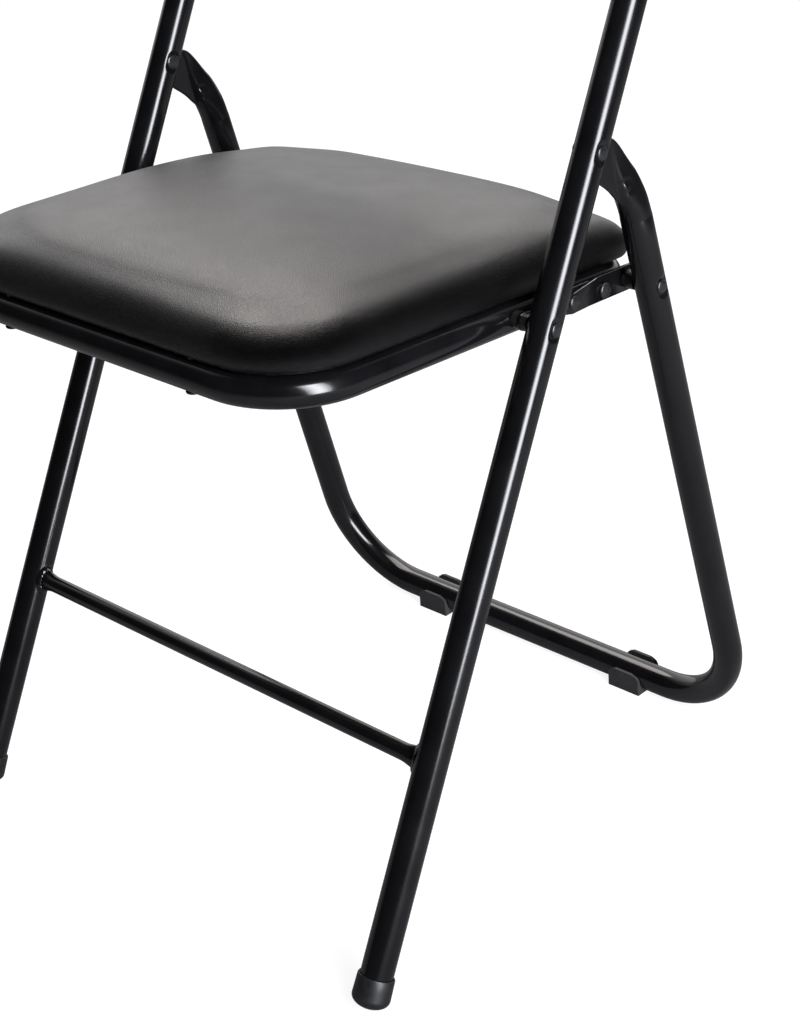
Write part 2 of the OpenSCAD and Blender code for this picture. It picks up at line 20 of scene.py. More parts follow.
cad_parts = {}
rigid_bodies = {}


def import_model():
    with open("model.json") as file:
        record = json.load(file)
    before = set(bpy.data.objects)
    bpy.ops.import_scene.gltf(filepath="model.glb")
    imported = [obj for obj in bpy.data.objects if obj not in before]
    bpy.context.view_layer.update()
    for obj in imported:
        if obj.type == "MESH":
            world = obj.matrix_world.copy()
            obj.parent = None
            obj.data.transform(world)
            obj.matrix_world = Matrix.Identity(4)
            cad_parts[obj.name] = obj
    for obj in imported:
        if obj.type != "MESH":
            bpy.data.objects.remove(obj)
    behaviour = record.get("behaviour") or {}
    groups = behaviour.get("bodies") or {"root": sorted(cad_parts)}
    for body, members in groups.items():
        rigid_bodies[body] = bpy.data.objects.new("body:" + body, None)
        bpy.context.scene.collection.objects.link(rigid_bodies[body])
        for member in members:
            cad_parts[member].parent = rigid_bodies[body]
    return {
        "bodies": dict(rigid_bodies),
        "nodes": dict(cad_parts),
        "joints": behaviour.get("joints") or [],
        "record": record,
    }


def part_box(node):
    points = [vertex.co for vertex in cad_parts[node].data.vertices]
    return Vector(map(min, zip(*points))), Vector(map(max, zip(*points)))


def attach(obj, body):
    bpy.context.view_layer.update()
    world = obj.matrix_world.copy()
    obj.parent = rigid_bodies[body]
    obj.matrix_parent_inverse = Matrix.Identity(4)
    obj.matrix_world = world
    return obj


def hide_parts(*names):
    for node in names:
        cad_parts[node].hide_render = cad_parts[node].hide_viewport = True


LOG = logging.getLogger("folding_chair")
MERGE = 1e-6
MEET = 1e-5
LEVEL = 1e-7
DIMPLE_DEPTH = 0.0016
DIMPLE_HALF = 0.0095
DIMPLE_RINGS = 19

Point = tuple[float, float]
Triple = tuple[float, float, float]


class Body(str, Enum):
    """The moving parts of the chair, by their names in the record."""

    FRONT = "front_frame"
    REAR = "rear_frame"
    SEAT = "seat"
    LEFT_LINK = "left_link"
    RIGHT_LINK = "right_link"


class Slot(str, Enum):
    """The record's material slots."""

    TUBE = "black_tube"
    VINYL = "black_vinyl"
    BACK_VINYL = "back_vinyl"
    WOOD = "plywood"
    RUBBER = "black_rubber"
    RIVET = "rivet_steel"


class Side(Enum):
    """The two sides of the chair: each is a name's start and a sign along X."""

    LEFT = ("left", 1)
    RIGHT = ("right", -1)

    @property
    def label(self) -> str:
        """The start of the names of this side's pieces."""
        return self.value[0]

    @property
    def mirror(self) -> Matrix:
        """The matrix that takes a left piece to this side."""
        return Matrix.Scale(self.value[1], 4, Vector((1, 0, 0)))

    @property
    def link_body(self) -> Body:
        """The link that moves on this side."""
        return Body.LEFT_LINK if self is Side.LEFT else Body.RIGHT_LINK


# Materials ---------------------------------------------------------------------------------


class Graph:
    """A node tree that is filled by naming what each socket gets."""

    def __init__(self, tree: NodeTree) -> None:
        """Takes a tree over."""
        self.tree = tree
        self.places = self.add("ShaderNodeTexCoord").outputs

    def feed(self, node: Node, **values: float | Sequence[float] | NodeSocket) -> None:
        """Gives sockets of a node their values.

        Args:
            node: The node.
            values: A constant or another node's output, with _ for a blank in a name.
        """
        for name, value in values.items():
            socket = node.inputs[name.replace("_", " ")]
            if isinstance(value, NodeSocket):
                self.tree.links.new(value, socket)
            else:
                socket.default_value = value

    def add(self, kind: str, **values: float | Sequence[float] | NodeSocket) -> Node:
        """Adds a node.

        Args:
            kind: The node's type.
            values: What its sockets get.

        Returns:
            The new node.
        """
        node = self.tree.nodes.new(kind)
        self.feed(node, **values)
        return node

    def remap(self, value: NodeSocket, low: float, high: float, start: float = 0.3,
              end: float = 0.7, smooth: bool = False) -> NodeSocket:
        """Maps one span of a value to another.

        Args:
            value: The value.
            low: What its start becomes.
            high: What its end becomes.
            start: Where its span starts.
            end: Where its span ends.
            smooth: Whether it sets off and arrives slowly.

        Returns:
            The mapped value.
        """
        node = self.add("ShaderNodeMapRange", Value=value, From_Min=start, From_Max=end,
                        To_Min=low, To_Max=high)
        node.interpolation_type = "SMOOTHSTEP" if smooth else "LINEAR"
        return node.outputs["Result"]


class Paint(Graph):
    """The node tree of one material, with its shader in place."""

    def __init__(self, name: str) -> None:
        """Makes the material.

        Args:
            name: The material's name.
        """
        self.material = bpy.data.materials.new(name)
        self.material.use_nodes = True
        super().__init__(self.material.node_tree)
        self.shader = self.tree.nodes["Principled BSDF"]
        self.place = self.places["Object"]

    def noise(self, size: float, detail: float = 2.0, place: NodeSocket | None = None
              ) -> NodeSocket:
        """Adds noise.

        Args:
            size: The width of its blotches.
            detail: How much finer noise is laid over them.
            place: The coordinates, or the object's own where none are given.

        Returns:
            Its value, from 0 to 1.
        """
        return self.add("ShaderNodeTexNoise", Scale=1 / size, Detail=detail,
                        Vector=place or self.place).outputs["Fac"]

    def cells(self, size: float) -> NodeSocket:
        """Adds a cell pattern.

        Args:
            size: The cells' width.

        Returns:
            The distance from the cells' edges.
        """
        node = self.add("ShaderNodeTexVoronoi", Scale=1 / size, Vector=self.place)
        node.feature = "DISTANCE_TO_EDGE"
        return node.outputs["Distance"]

    def tint(self, value: NodeSocket, dark: Triple, light: Triple) -> NodeSocket:
        """Turns a value into a colour.

        Args:
            value: The value, from 0 to 1.
            dark: The colour at 0.
            light: The colour at 1.

        Returns:
            The colour between them.
        """
        node = self.add("ShaderNodeMix")
        node.data_type = "RGBA"
        self.feed(node, Factor=value)
        colours = [socket for socket in node.inputs if socket.type == "RGBA"]
        colours[0].default_value = (*dark, 1)
        colours[1].default_value = (*light, 1)
        return next(socket for socket in node.outputs if socket.type == "RGBA")

    def bump(self, height: NodeSocket, depth: float, strength: float = 1.0,
             under: NodeSocket | None = None) -> NodeSocket:
        """Adds a bump over another one.

        Args:
            height: The height pattern, from 0 to 1.
            depth: The height that 1 stands for.
            strength: The share of the bump that shows.
            under: A bump that this one lies on.

        Returns:
            The bumped normal.
        """
        node = self.add("ShaderNodeBump", Distance=depth, Strength=strength, Height=height)
        if under:
            self.feed(node, Normal=under)
        return node.outputs["Normal"]


@dataclass(frozen=True)
class Finish:
    """A surface finish for a slot: two colours that it varies between and how rough it is."""

    name: str
    slot: Slot
    dark: Triple
    light: Triple
    smoothest: float
    roughest: float
    blotch: float = 0.03

    def build(self) -> Material:
        """Makes the material.

        Returns:
            The finished material.
        """
        paint = Paint(self.name)
        shade = paint.noise(self.blotch, 4)
        paint.feed(paint.shader,
                   Base_Color=paint.tint(paint.remap(shade, 0, 1), self.dark, self.light),
                   Roughness=paint.remap(shade, self.smoothest, self.roughest))
        self.detail(paint)
        return paint.material

    def detail(self, paint: Paint) -> None:
        """Adds what this kind of finish has beside its colour."""


@dataclass(frozen=True)
class GlossCoat(Finish):
    """Glossy black coat on steel, with a very faint orange peel."""

    peel: float = 0.0016
    peel_depth: float = 0.000006

    def detail(self, paint: Paint) -> None:
        """Adds the clear top of the coat and its orange peel."""
        paint.feed(paint.shader, Coat_Weight=0.08, Coat_Roughness=0.05,
                   Normal=paint.bump(paint.noise(self.peel, 1), self.peel_depth))


@dataclass(frozen=True)
class Leatherette(Finish):
    """Black vinyl with a fine pebbled grain and a satin sheen."""

    grain: float = 0.0013
    grain_depth: float = 0.00016
    crease: float = 0.011
    crease_depth: float = 0.0002

    def detail(self, paint: Paint) -> None:
        """Adds the pebbles, the fine pores between them and slow waves of the cover.

        Args:
            paint: The material.
        """
        waves = paint.bump(paint.noise(self.crease, 1), self.crease_depth, 0.35)
        pebbles = paint.remap(paint.cells(self.grain), 0, 1, 0.0, 0.28)
        pebbled = paint.bump(pebbles, self.grain_depth, 0.55, waves)
        pores = paint.bump(paint.noise(self.grain * 0.4, 2), self.grain_depth * 0.4, 0.5,
                           pebbled)
        paint.feed(paint.shader, Sheen_Weight=0.06, Sheen_Roughness=0.4,
                   Specular_IOR_Level=0.62, Normal=pores)


@dataclass(frozen=True)
class Rubber(Finish):
    """Moulded black rubber with a fine matte skin."""

    skin: float = 0.0007
    skin_depth: float = 0.00005

    def detail(self, paint: Paint) -> None:
        """Adds the skin's fine roughness."""
        paint.feed(paint.shader, Specular_IOR_Level=0.4,
                   Normal=paint.bump(paint.noise(self.skin, 3), self.skin_depth, 0.6))


@dataclass(frozen=True)
class Plywood(Finish):
    """Bare plywood with its grain along X."""

    vessel: float = 0.0018
    vessel_depth: float = 0.0001

    def detail(self, paint: Paint) -> None:
        """Adds the long dark lines of the grain in colour and height.

        Args:
            paint: The material.
        """
        along = paint.add("ShaderNodeMapping", Scale=(0.05, 1, 1), Vector=paint.place)
        grain = paint.noise(self.vessel, 5, along.outputs["Vector"])
        lines = paint.remap(grain, 0, 1, 0.35, 0.6)
        paint.feed(paint.shader, Base_Color=paint.tint(lines, self.dark, self.light),
                   Normal=paint.bump(lines, self.vessel_depth, 0.5))


FRAME_COAT = GlossCoat("gloss_black_coat", Slot.TUBE, (0.0015, 0.0015, 0.0018),
                       (0.0028, 0.0028, 0.0033), 0.14, 0.18)
RIVET_COAT = GlossCoat("black_rivet_coat", Slot.RIVET, (0.006, 0.006, 0.0065),
                       (0.010, 0.010, 0.0105), 0.2, 0.3, blotch=0.004)
SEAT_VINYL = Leatherette("black_leatherette", Slot.VINYL, (0.0130, 0.0127, 0.0142),
                         (0.0185, 0.0181, 0.0198), 0.36, 0.44)
BACK_VINYL = Leatherette("black_back_leatherette", Slot.BACK_VINYL, (0.0125, 0.0122, 0.0137),
                         (0.0178, 0.0174, 0.0190), 0.38, 0.46)
CAP_RUBBER = Rubber("black_cap_rubber", Slot.RUBBER, (0.0035, 0.0035, 0.0038),
                    (0.0055, 0.0055, 0.006), 0.36, 0.48, blotch=0.008)
PAD_RUBBER = Rubber("grey_black_pad_rubber", Slot.RUBBER, (0.011, 0.011, 0.012),
                    (0.017, 0.017, 0.018), 0.6, 0.72, blotch=0.006)
SEAT_WOOD = Plywood("plain_plywood", Slot.WOOD, (0.33, 0.21, 0.115), (0.52, 0.37, 0.22),
                    0.55, 0.7)


# Modelling ---------------------------------------------------------------------------------


def smooth_step(value: float, start: float = 0.0, end: float = 1.0) -> float:
    """Rises smoothly from 0 at start to 1 at end."""
    t = min(max((value - start) / (end - start), 0.0), 1.0)
    return t * t * (3 - 2 * t)


def mix(a: float, b: float, t: float) -> float:
    """Gives the value a share t of the way from a to b."""
    return a + (b - a) * t


def parts(geom: Iterable, kind: type) -> list:
    """Picks the elements of one kind out of an operator's result."""
    return [item for item in geom if isinstance(item, kind)]


def sew(bm: BMesh) -> None:
    """Joins points that lie on each other."""
    bmesh.ops.remove_doubles(bm, verts=bm.verts, dist=MERGE)


def sheet(points: Iterable[Triple]) -> tuple[BMesh, list[BMVert]]:
    """Makes a mesh of one face.

    Args:
        points: The face's corners.

    Returns:
        The mesh and its corners.
    """
    bm = bmesh.new()
    verts = [bm.verts.new(point) for point in points]
    bm.faces.new(verts)
    return bm, verts


def thicken(bm: BMesh, move: Triple) -> None:
    """Extrudes every face along a move."""
    grown = bmesh.ops.extrude_face_region(bm, geom=bm.faces[:])["geom"]
    bmesh.ops.translate(bm, vec=move, verts=parts(grown, BMVert))


def draw_on(bm: BMesh, rim: list[BMEdge], move: Vector) -> list[BMEdge]:
    """Extrudes a rim of edges.

    Args:
        bm: The mesh.
        rim: The edges.
        move: How far they move.

    Returns:
        The new rim.
    """
    grown = bmesh.ops.extrude_edge_only(bm, edges=rim)["geom"]
    bmesh.ops.translate(bm, vec=move, verts=parts(grown, BMVert))
    return parts(grown, BMEdge)


def level(bm: BMesh, axis: int, place: float | None = None) -> list[BMEdge]:
    """Picks the edges that lie square to an axis.

    Args:
        bm: The mesh.
        axis: The axis, from 0 to 2.
        place: Where on the axis they lie, or anywhere if not given.

    Returns:
        The edges.
    """
    if place is None:
        return [edge for edge in bm.edges
                if abs(edge.verts[0].co[axis] - edge.verts[1].co[axis]) < LEVEL]
    return [edge for edge in bm.edges
            if all(abs(vert.co[axis] - place) < MERGE for vert in edge.verts)]


def ease(bm: BMesh, edges: list[BMEdge], radius: float, segments: int,
         clamp: bool = False) -> None:
    """Rounds edges off."""
    bmesh.ops.bevel(bm, geom=edges, offset=radius, segments=segments, profile=0.5,
                    affect="EDGES", material=-1, clamp_overlap=clamp)


def round_corner(bm: BMesh, corner: BMVert, offset: float, segments: int) -> None:
    """Rounds a corner of a flat face off."""
    bmesh.ops.bevel(bm, geom=[corner], offset=offset, segments=segments, profile=0.5,
                    affect="VERTICES", material=-1)


def to_object(name: str, bm: BMesh) -> Object:
    """Makes an object of a mesh.

    Args:
        name: The object's name.
        bm: The mesh, which is freed.

    Returns:
        The object.
    """
    mesh = bpy.data.meshes.new(name)
    bm.to_mesh(mesh)
    bm.free()
    obj = bpy.data.objects.new(name, mesh)
    bpy.context.scene.collection.objects.link(obj)
    return obj


def apply_modifier(obj: Object, kind: str, **settings: float | str | Object) -> None:
    """Adds a modifier and applies it.

    Args:
        obj: The object.
        kind: The modifier's type.
        settings: Its settings.
    """
    modifier = obj.modifiers.new(kind.lower(), kind)
    for name, value in settings.items():
        setattr(modifier, name, value)
    done = bpy.data.meshes.new_from_object(
        obj.evaluated_get(bpy.context.evaluated_depsgraph_get()))
    obj.modifiers.remove(modifier)
    old, obj.data = obj.data, done
    bpy.data.meshes.remove(old)


def shade_smooth(mesh: Mesh) -> None:
    """Shades every face of a mesh smooth."""
    mesh.polygons.foreach_set("use_smooth", [True] * len(mesh.polygons))


def spin(bm: BMesh) -> None:
    """Turns a profile round the X axis.

    Args:
        bm: The mesh that holds nothing but the profile.
    """
    bmesh.ops.spin(bm, geom=bm.verts[:] + bm.edges[:], cent=(0, 0, 0), axis=(1, 0, 0),
                   angle=math.tau, steps=48, use_merge=True)
    sew(bm)


def lathe(profile: Sequence[Point]) -> BMesh:
    """Turns a profile, from one end on the axis to the other.

    Args:
        profile: Points of radius and place along X.

    Returns:
        The turned form.
    """
    bm = bmesh.new()
    line = [bm.verts.new((x, radius, 0)) for radius, x in profile]
    for pair in zip(line, line[1:]):
        bm.edges.new(pair)
    spin(bm)
    return bm


def plate(corners: Sequence[Triple], x0: float, x1: float, edge: float = 0.0005) -> BMesh:
    """Cuts a flat plate with rounded corners and softened edges.

    Args:
        corners: The corners of its outline as y, z and the radius of each.
        x0: The lower face's place along X.
        x1: The upper face's place.
        edge: The width of the softened edges.

    Returns:
        The plate.
    """
    bm, verts = sheet((x0, y, z) for y, z, _ in corners)
    for vert, (_, _, radius) in zip(verts, corners):
        if radius:
            across = [beside.other_vert(vert).co - vert.co for beside in vert.link_edges]
            half = across[0].angle(across[1]) / 2
            round_corner(bm, vert, radius / math.tan(half), 10)
    thicken(bm, (x1 - x0, 0, 0))
    sew(bm)
    ease(bm, level(bm, 0), edge, 2, clamp=True)
    return bm


@dataclass(frozen=True)
class Rivet:
    """A rivet with a domed head and, if it has one, a flattened tail."""

    shank_r: float
    head_r: float = 0.005
    head_h: float = 0.002
    tail_r: float = 0.0
    tail_h: float = 0.0

    def profile(self, start: float, end: float) -> list[Point]:
        """Draws its profile for the lathe.

        Args:
            start: Where the shank starts.
            end: Where the shank ends and the head starts.

        Returns:
            Points of radius and place along X.
        """
        tail, tail_h = self.tail_r, self.tail_h
        points: list[Point] = [(0.0, start - tail_h)]
        if tail:
            points += [(tail * 0.6, start - tail_h), (tail * 0.9, start - tail_h * 0.8),
                       (tail, start - tail_h * 0.45), (tail, start)]
        return [*points, (self.shank_r, start), (self.shank_r, end), *self.head(end)]

    def head(self, end: float) -> list[Point]:
        """Draws the head's profile.

        Args:
            end: Where the head starts.

        Returns:
            Points of radius and place along X, up to the axis.
        """
        radius, height, dome = self.head_r, self.head_h, 7
        points = [(radius * 0.985, end), (radius, end + height * 0.12)]
        for step in range(dome + 1):
            angle = math.pi / 2 * step / dome
            points.append((radius * math.cos(angle) ** 0.72 if step < dome else 0.0,
                           end + height * (0.22 + 0.78 * math.sin(angle))))
        return points


@dataclass
class BentTube:
    """A round tube that grows run by run and bend by bend from a ring of edges."""

    radius: float
    start: Triple
    sides: int = 64
    bm: BMesh = field(default_factory=bmesh.new)
    heading: Vector = field(default_factory=lambda: Vector((1, 0, 0)))

    def __post_init__(self) -> None:
        """Makes the first ring, square to +X, at its start."""
        bmesh.ops.create_circle(self.bm, cap_ends=False, segments=self.sides,
                                radius=self.radius,
                                matrix=Matrix.Rotation(math.pi / 2, 4, "Y"))
        self.rim = self.bm.edges[:]
        self.at = Vector(self.start)
        bmesh.ops.translate(self.bm, vec=self.at, verts=self.bm.verts)

    def run(self, length: float, steps: int = 1) -> None:
        """Draws the tube straight on.

        Args:
            length: The length of the run.
            steps: The number of rings that it takes.
        """
        move = self.heading * (length / steps)
        for _ in range(steps):
            self.rim = draw_on(self.bm, self.rim, move)
            self.at = self.at + move

    def turn(self, radius: float, toward: Triple, steps: int) -> None:
        """Bends the tube square round.

        Args:
            radius: The bend's centre line radius.
            toward: The direction that it bends to.
            steps: The number of rings that it takes.
        """
        centre = self.at + Vector(toward) * radius
        axis = self.heading.cross(Vector(toward))
        rim_verts = {vert for edge in self.rim for vert in edge.verts}
        grown = bmesh.ops.spin(self.bm, geom=self.rim + list(rim_verts), cent=centre,
                               axis=axis, angle=math.pi / 2, steps=steps)["geom_last"]
        self.rim = parts(grown, BMEdge)
        turned = Matrix.Rotation(math.pi / 2, 3, axis)
        self.at = centre + turned @ (self.at - centre)
        self.heading = turned @ self.heading

    def finish(self, *presses: Callable[[Vector], Vector], closed: bool = True) -> BMesh:
        """Presses the tube, closes its end and adds its other half across the middle.

        Args:
            presses: Each gives the new place of a point.
            closed: Whether the end is closed.

        Returns:
            The whole tube.
        """
        for press in presses:
            for vert in self.bm.verts:
                vert.co = press(vert.co)
        if closed:
            bmesh.ops.edgeloop_fill(self.bm, edges=self.rim)
        whole = self.bm.verts[:] + self.bm.edges[:] + self.bm.faces[:]
        bmesh.ops.mirror(self.bm, geom=whole, matrix=Matrix(), merge_dist=MEET, axis="X")
        bmesh.ops.remove_doubles(self.bm, verts=self.bm.verts, dist=MEET)
        return self.bm


@dataclass(frozen=True)
class Dimple:
    """A round flat pressed into one side of a tube that stands along Z."""

    along: float
    axis_x: float
    reach: float
    outward: int = 1
    flat: float = 0.0056
    rise: float = 0.0034

    def press(self, point: Vector) -> Vector:
        """Presses the dimple.

        Args:
            point: A point of the tube.

        Returns:
            Its place after the pressing.
        """
        across = math.hypot(point.y, point.z - self.along)
        out = (point.x - self.axis_x) * self.outward
        if across > self.flat + self.rise or out <= self.reach:
            return point
        share = smooth_step(across, self.flat, self.flat + self.rise)
        pressed = mix(self.reach, out, share)
        return Vector((self.axis_x + pressed * self.outward, point.y, point.z))


@dataclass
class Workshop:
    """Turns meshes into pieces of the chair, dressed and riding on their bodies."""

    sharp_angle: float = math.radians(38)
    made: dict[str, Material] = field(default_factory=dict)

    def coat(self, obj: Object, finish: Finish) -> None:
        """Gives an object a finish, whose material is made the first time.

        Args:
            obj: The object.
            finish: The finish.
        """
        if finish.name not in self.made:
            self.made[finish.name] = finish.build()
        obj.data.materials.clear()
        obj.data.materials.append(self.made[finish.name])

    def carry(self, node: Object, finish: Finish) -> None:
        """Gives a CAD node that stays its finish."""
        self.coat(node, finish)
        LOG.info("%s: kept from the frame", node.name)

    def smooth(self, mesh: Mesh) -> None:
        """Shades a mesh smooth but for its sharp edges."""
        shade_smooth(mesh)
        mesh.set_sharp_from_angle(angle=self.sharp_angle)

    def dress(self, obj: Object, finish: Finish, body: Body, nodes: Sequence[str]) -> None:
        """Gives an object its finish and body.

        Args:
            obj: The object.
            finish: Its finish.
            body: The body that it rides on.
            nodes: The CAD nodes that it stands for.
        """
        self.coat(obj, finish)
        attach(obj, body.value)
        if nodes:
            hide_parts(*nodes)
        LOG.info("%s: %d faces", obj.name, len(obj.data.polygons))

    def piece(self, name: str, bm: BMesh, finish: Finish, body: Body, place: Matrix,
              *nodes: str) -> Object:
        """Makes a piece from a mesh, which is freed.

        Args:
            name: The piece's name.
            bm: Its mesh, in the plane of its frame.
            finish: Its finish.
            body: The body that it rides on.
            place: The matrix that puts it in its place.
            nodes: The CAD nodes that it stands for.

        Returns:
            The new object.
        """
        bmesh.ops.transform(bm, matrix=place, verts=bm.verts)
        sew(bm)
        bmesh.ops.recalc_face_normals(bm, faces=bm.faces)
        obj = to_object(name, bm)
        self.smooth(obj.data)
        self.dress(obj, finish, body, nodes)
        return obj

    def steel(self, node: str, profile: Sequence[Point], body: Body, place: Matrix) -> None:
        """Turns the rivet that stands for a CAD node."""
        self.piece(f"{node}_steel", lathe(profile), RIVET_COAT, body, place, node)

    def upholster(self, obj: Object, finish: Finish, body: Body, plane: Matrix, node: str,
                  padded: bool = True) -> None:
        """Sets a cushion or a covered board in its plane, smooth all over.

        Args:
            obj: The object.
            finish: Its finish.
            body: The body that it rides on.
            plane: The plane.
            node: The CAD node that it stands for.
            padded: Whether there is foam under its cover.
        """
        if padded:
            apply_modifier(obj, "SUBSURF", levels=1, render_levels=1)
        obj.data.transform(plane)
        shade_smooth(obj.data)
        self.dress(obj, finish, body, [node])


# Places ------------------------------------------------------------------------------------


def leaning(y: float, z: float, turn: float) -> Matrix:
    """Gives the plane through a point of the side view, turned about X."""
    return Matrix.Translation((0, y, z)) @ Matrix.Rotation(turn, 4, "X")


def on_side(plane: Matrix, side: Side, at: Triple = (0.0, 0.0, 0.0)) -> Matrix:
    """Gives the matrix that takes a left piece to a place in a plane, on one side."""
    return plane @ side.mirror @ Matrix.Translation(at)


@dataclass
class Plan:
    """Where the chair's planes, pivots and tubes are, taken from the frame.

    In every plane X is the frame's own. Z runs up along the front and the rear frame from the
    floor. In the seat's plane, Y runs to the rear from its pivot, and in the links' plane from
    the bracket rivet to the leg.
    """

    frame: dict

    def __post_init__(self) -> None:
        """Reads the joints and the boxes of the CAD nodes."""
        joints = {joint["name"]: joint for joint in self.frame["joints"]}
        self.hinge = Vector(joints["rear_fold"]["pos_m"])
        self.seat_pivot = Vector(joints["seat_fold"]["pos_m"])
        self.link_pin = Vector(joints["left_link_fold"]["pos_m"])
        self.leg_pin = self.centre("left_link_rivet")
        rise = self.hinge - self.seat_pivot
        self.front_lean = math.atan2(rise.y, rise.z)
        self.rear_lean = math.radians(joints["rear_fold"]["range_deg"][1]) - self.front_lean
        swing = math.radians(joints["seat_fold"]["range_deg"][1])
        self.seat_fall = swing - (math.pi / 2 - self.front_lean)
        seat, pin, leg = self.seat_pivot, self.link_pin, self.leg_pin
        self.front_plane = leaning(seat.y - seat.z * math.tan(self.front_lean), 0,
                                   -self.front_lean)
        self.rear_plane = leaning(leg.y + leg.z * math.tan(self.rear_lean), 0, self.rear_lean)
        self.seat_plane = leaning(seat.y, seat.z, -self.seat_fall)
        self.link_plane = leaning(pin.y, pin.z, math.atan2(leg.z - pin.z, leg.y - pin.y))

    def box(self, node: str) -> tuple[Vector, Vector]:
        """Gives a node's lowest and highest corner."""
        low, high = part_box(node)
        return Vector(low), Vector(high)

    def centre(self, node: str) -> Vector:
        """Gives the middle of a node's box."""
        low, high = self.box(node)
        return (low + high) / 2

    def depth(self, node: str) -> tuple[float, float]:
        """Gives how far from the chair's middle a node of one side starts and ends."""
        low, high = self.box(node)
        return min(abs(low.x), abs(high.x)), max(abs(low.x), abs(high.x))

    def tube(self, node: str) -> tuple[float, float]:
        """Gives the radius of an upright tube on the left and its middle along X."""
        low, high = self.box(node)
        return (high.x - low.x) / 2, (high.x + low.x) / 2

    def local(self, plane: Matrix, point: Vector) -> Vector:
        """Gives a point of the side view in a plane's own axes."""
        return plane.inverted() @ Vector((0, point.y, point.z))


# The chair ---------------------------------------------------------------------------------


@dataclass
class FrontFrame:
    """The bent front tube with its crossbar, foot caps and pivot rivets."""

    plan: Plan
    shop: Workshop
    rivet: Rivet = Rivet(0.004, tail_r=0.0056, tail_h=0.0016)
    cap_wall: float = 0.0015
    cap_sole: float = 0.0075
    cap_rim: float = 0.0008
    bar_flare: float = 0.014
    bar_sink: float = 0.001
    bar_thin: float = 0.8
    bar_wide: float = 1.35
    weld_r: float = 0.0024
    weld_tall: float = 1.6
    weld_ripple: float = 0.00025
    weld_waves: int = 17
    weld_wrap: float = 0.9
    weld_sink: float = 0.0002
    blade_half: float = 0.0016
    slot_gap: float = 0.0003
    slot_rise: float = 0.0124
    slot_drop: float = 0.0440
    slot_front: float = 0.0097

    def __post_init__(self) -> None:
        """Works out the tube's axis and its lengths along the frame."""
        plan, lean = self.plan, self.plan.front_lean
        cos, sin = math.cos(lean), math.sin(lean)
        self.radius, self.axis_x = plan.tube("left_front_upright")
        self.wall_x = self.axis_x - self.radius
        self.upright_end = (plan.box("left_front_upright")[1].z - self.radius * sin) / cos
        self.bow_s = (plan.box("front_top_bow")[1].z - self.radius) / cos
        self.hinge_s = plan.hinge.z / cos
        self.seat_s = plan.seat_pivot.z / cos
        self.crossbar_s = plan.centre("front_crossbar").z / cos
        self.screw_s = [plan.local(plan.front_plane, corner).z
                        for corner in plan.box("back_screws")]
        self.cap_r, _ = plan.tube("left_foot_cap")
        self.cap_s = math.hypot(self.cap_sole * cos, self.cap_r * sin) / cos - self.cap_sole
        self.cap_top = (plan.box("left_foot_cap")[1].z - self.cap_r * sin) / cos

    def build(self) -> None:
        """Makes every piece of the front frame."""
        self.tube()
        self.crossbar()
        for side in Side:
            self.foot_cap(side)
            self.rivets(side)

    def tube(self) -> None:
        """Bends the one tube that is both uprights and the bow over the back."""
        bend_r = self.bow_s - self.upright_end
        tube = BentTube(self.radius, (0, 0, self.bow_s))
        tube.run(self.axis_x - bend_r, 6)
        tube.turn(bend_r, (0, 0, -1), 24)
        places = sorted([self.hinge_s, self.seat_s, *self.screw_s], reverse=True)
        here = self.upright_end
        for along in places:
            tube.run(here - along - DIMPLE_HALF, 3)
            tube.run(2 * DIMPLE_HALF, DIMPLE_RINGS)
            here = along - DIMPLE_HALF
        tube.run(here - self.cap_s - self.cap_sole, 8)
        reach = self.radius - DIMPLE_DEPTH
        dimples = [Dimple(along, self.axis_x, reach) for along in places]
        dimples.append(Dimple(self.hinge_s, self.axis_x, reach, outward=-1))
        piece = self.shop.piece("front_tube", tube.finish(*[each.press for each in dimples]),
                                FRAME_COAT, Body.FRONT, Matrix(), "left_front_upright",
                                "right_front_upright", "front_top_bow")
        self.cut_slots(piece)
        piece.data.transform(self.plan.front_plane)

    def cut_slots(self, piece: Object) -> None:
        """Cuts the slots in the back of the uprights that the rear frame's blades enter.

        Args:
            piece: The front tube, still in its own plane.
        """
        half = self.blade_half + self.slot_gap
        depth = self.radius + self.slot_front + self.slot_gap
        length = self.slot_rise + self.slot_drop
        middle = self.hinge_s + (self.slot_rise - self.slot_drop) / 2
        cutter = bmesh.new()
        for side in Side:
            made = bmesh.ops.create_cube(cutter, size=1.0)["verts"]
            bmesh.ops.scale(cutter, vec=(2 * half, depth, length), verts=made)
            bmesh.ops.translate(cutter, vec=(self.axis_x * side.value[1],
                                             depth / 2 - self.slot_front, middle), verts=made)
            upright = level(cutter, 0)
            ease(cutter, [edge for edge in level(cutter, 2)
                          if edge.verts[0] in made and edge in upright], half * 0.95, 4)
        tool = to_object("slots", cutter)
        apply_modifier(piece, "BOOLEAN", operation="DIFFERENCE", object=tool, solver="EXACT")
        bpy.data.meshes.remove(tool.data)
        self.shop.smooth(piece.data)

    def crossbar(self) -> None:
        """Makes the crossbar, with ends that flare where they are pressed to the uprights."""
        low, high = self.plan.box("front_crossbar")
        radius = (high.z - low.z) / 2
        face = math.sqrt(self.radius ** 2 - radius ** 2)
        bar = BentTube(radius, (0, 0, self.crossbar_s), sides=40)
        bar.run(self.wall_x - self.bar_flare, 6)
        bar.run(self.bar_flare + self.radius - face + self.bar_sink, 14)

        def flatten(point: Vector) -> Vector:
            """Presses the end of the bar.

            Args:
                point: A point of the bar.

            Returns:
                Its place after the pressing.
            """
            share = smooth_step(point.x, self.wall_x - self.bar_flare,
                                self.wall_x + self.bar_sink)
            tall = (point.z - self.crossbar_s) * mix(1, self.bar_wide, share)
            return Vector((point.x, point.y * mix(1, self.bar_thin, share),
                           self.crossbar_s + tall))

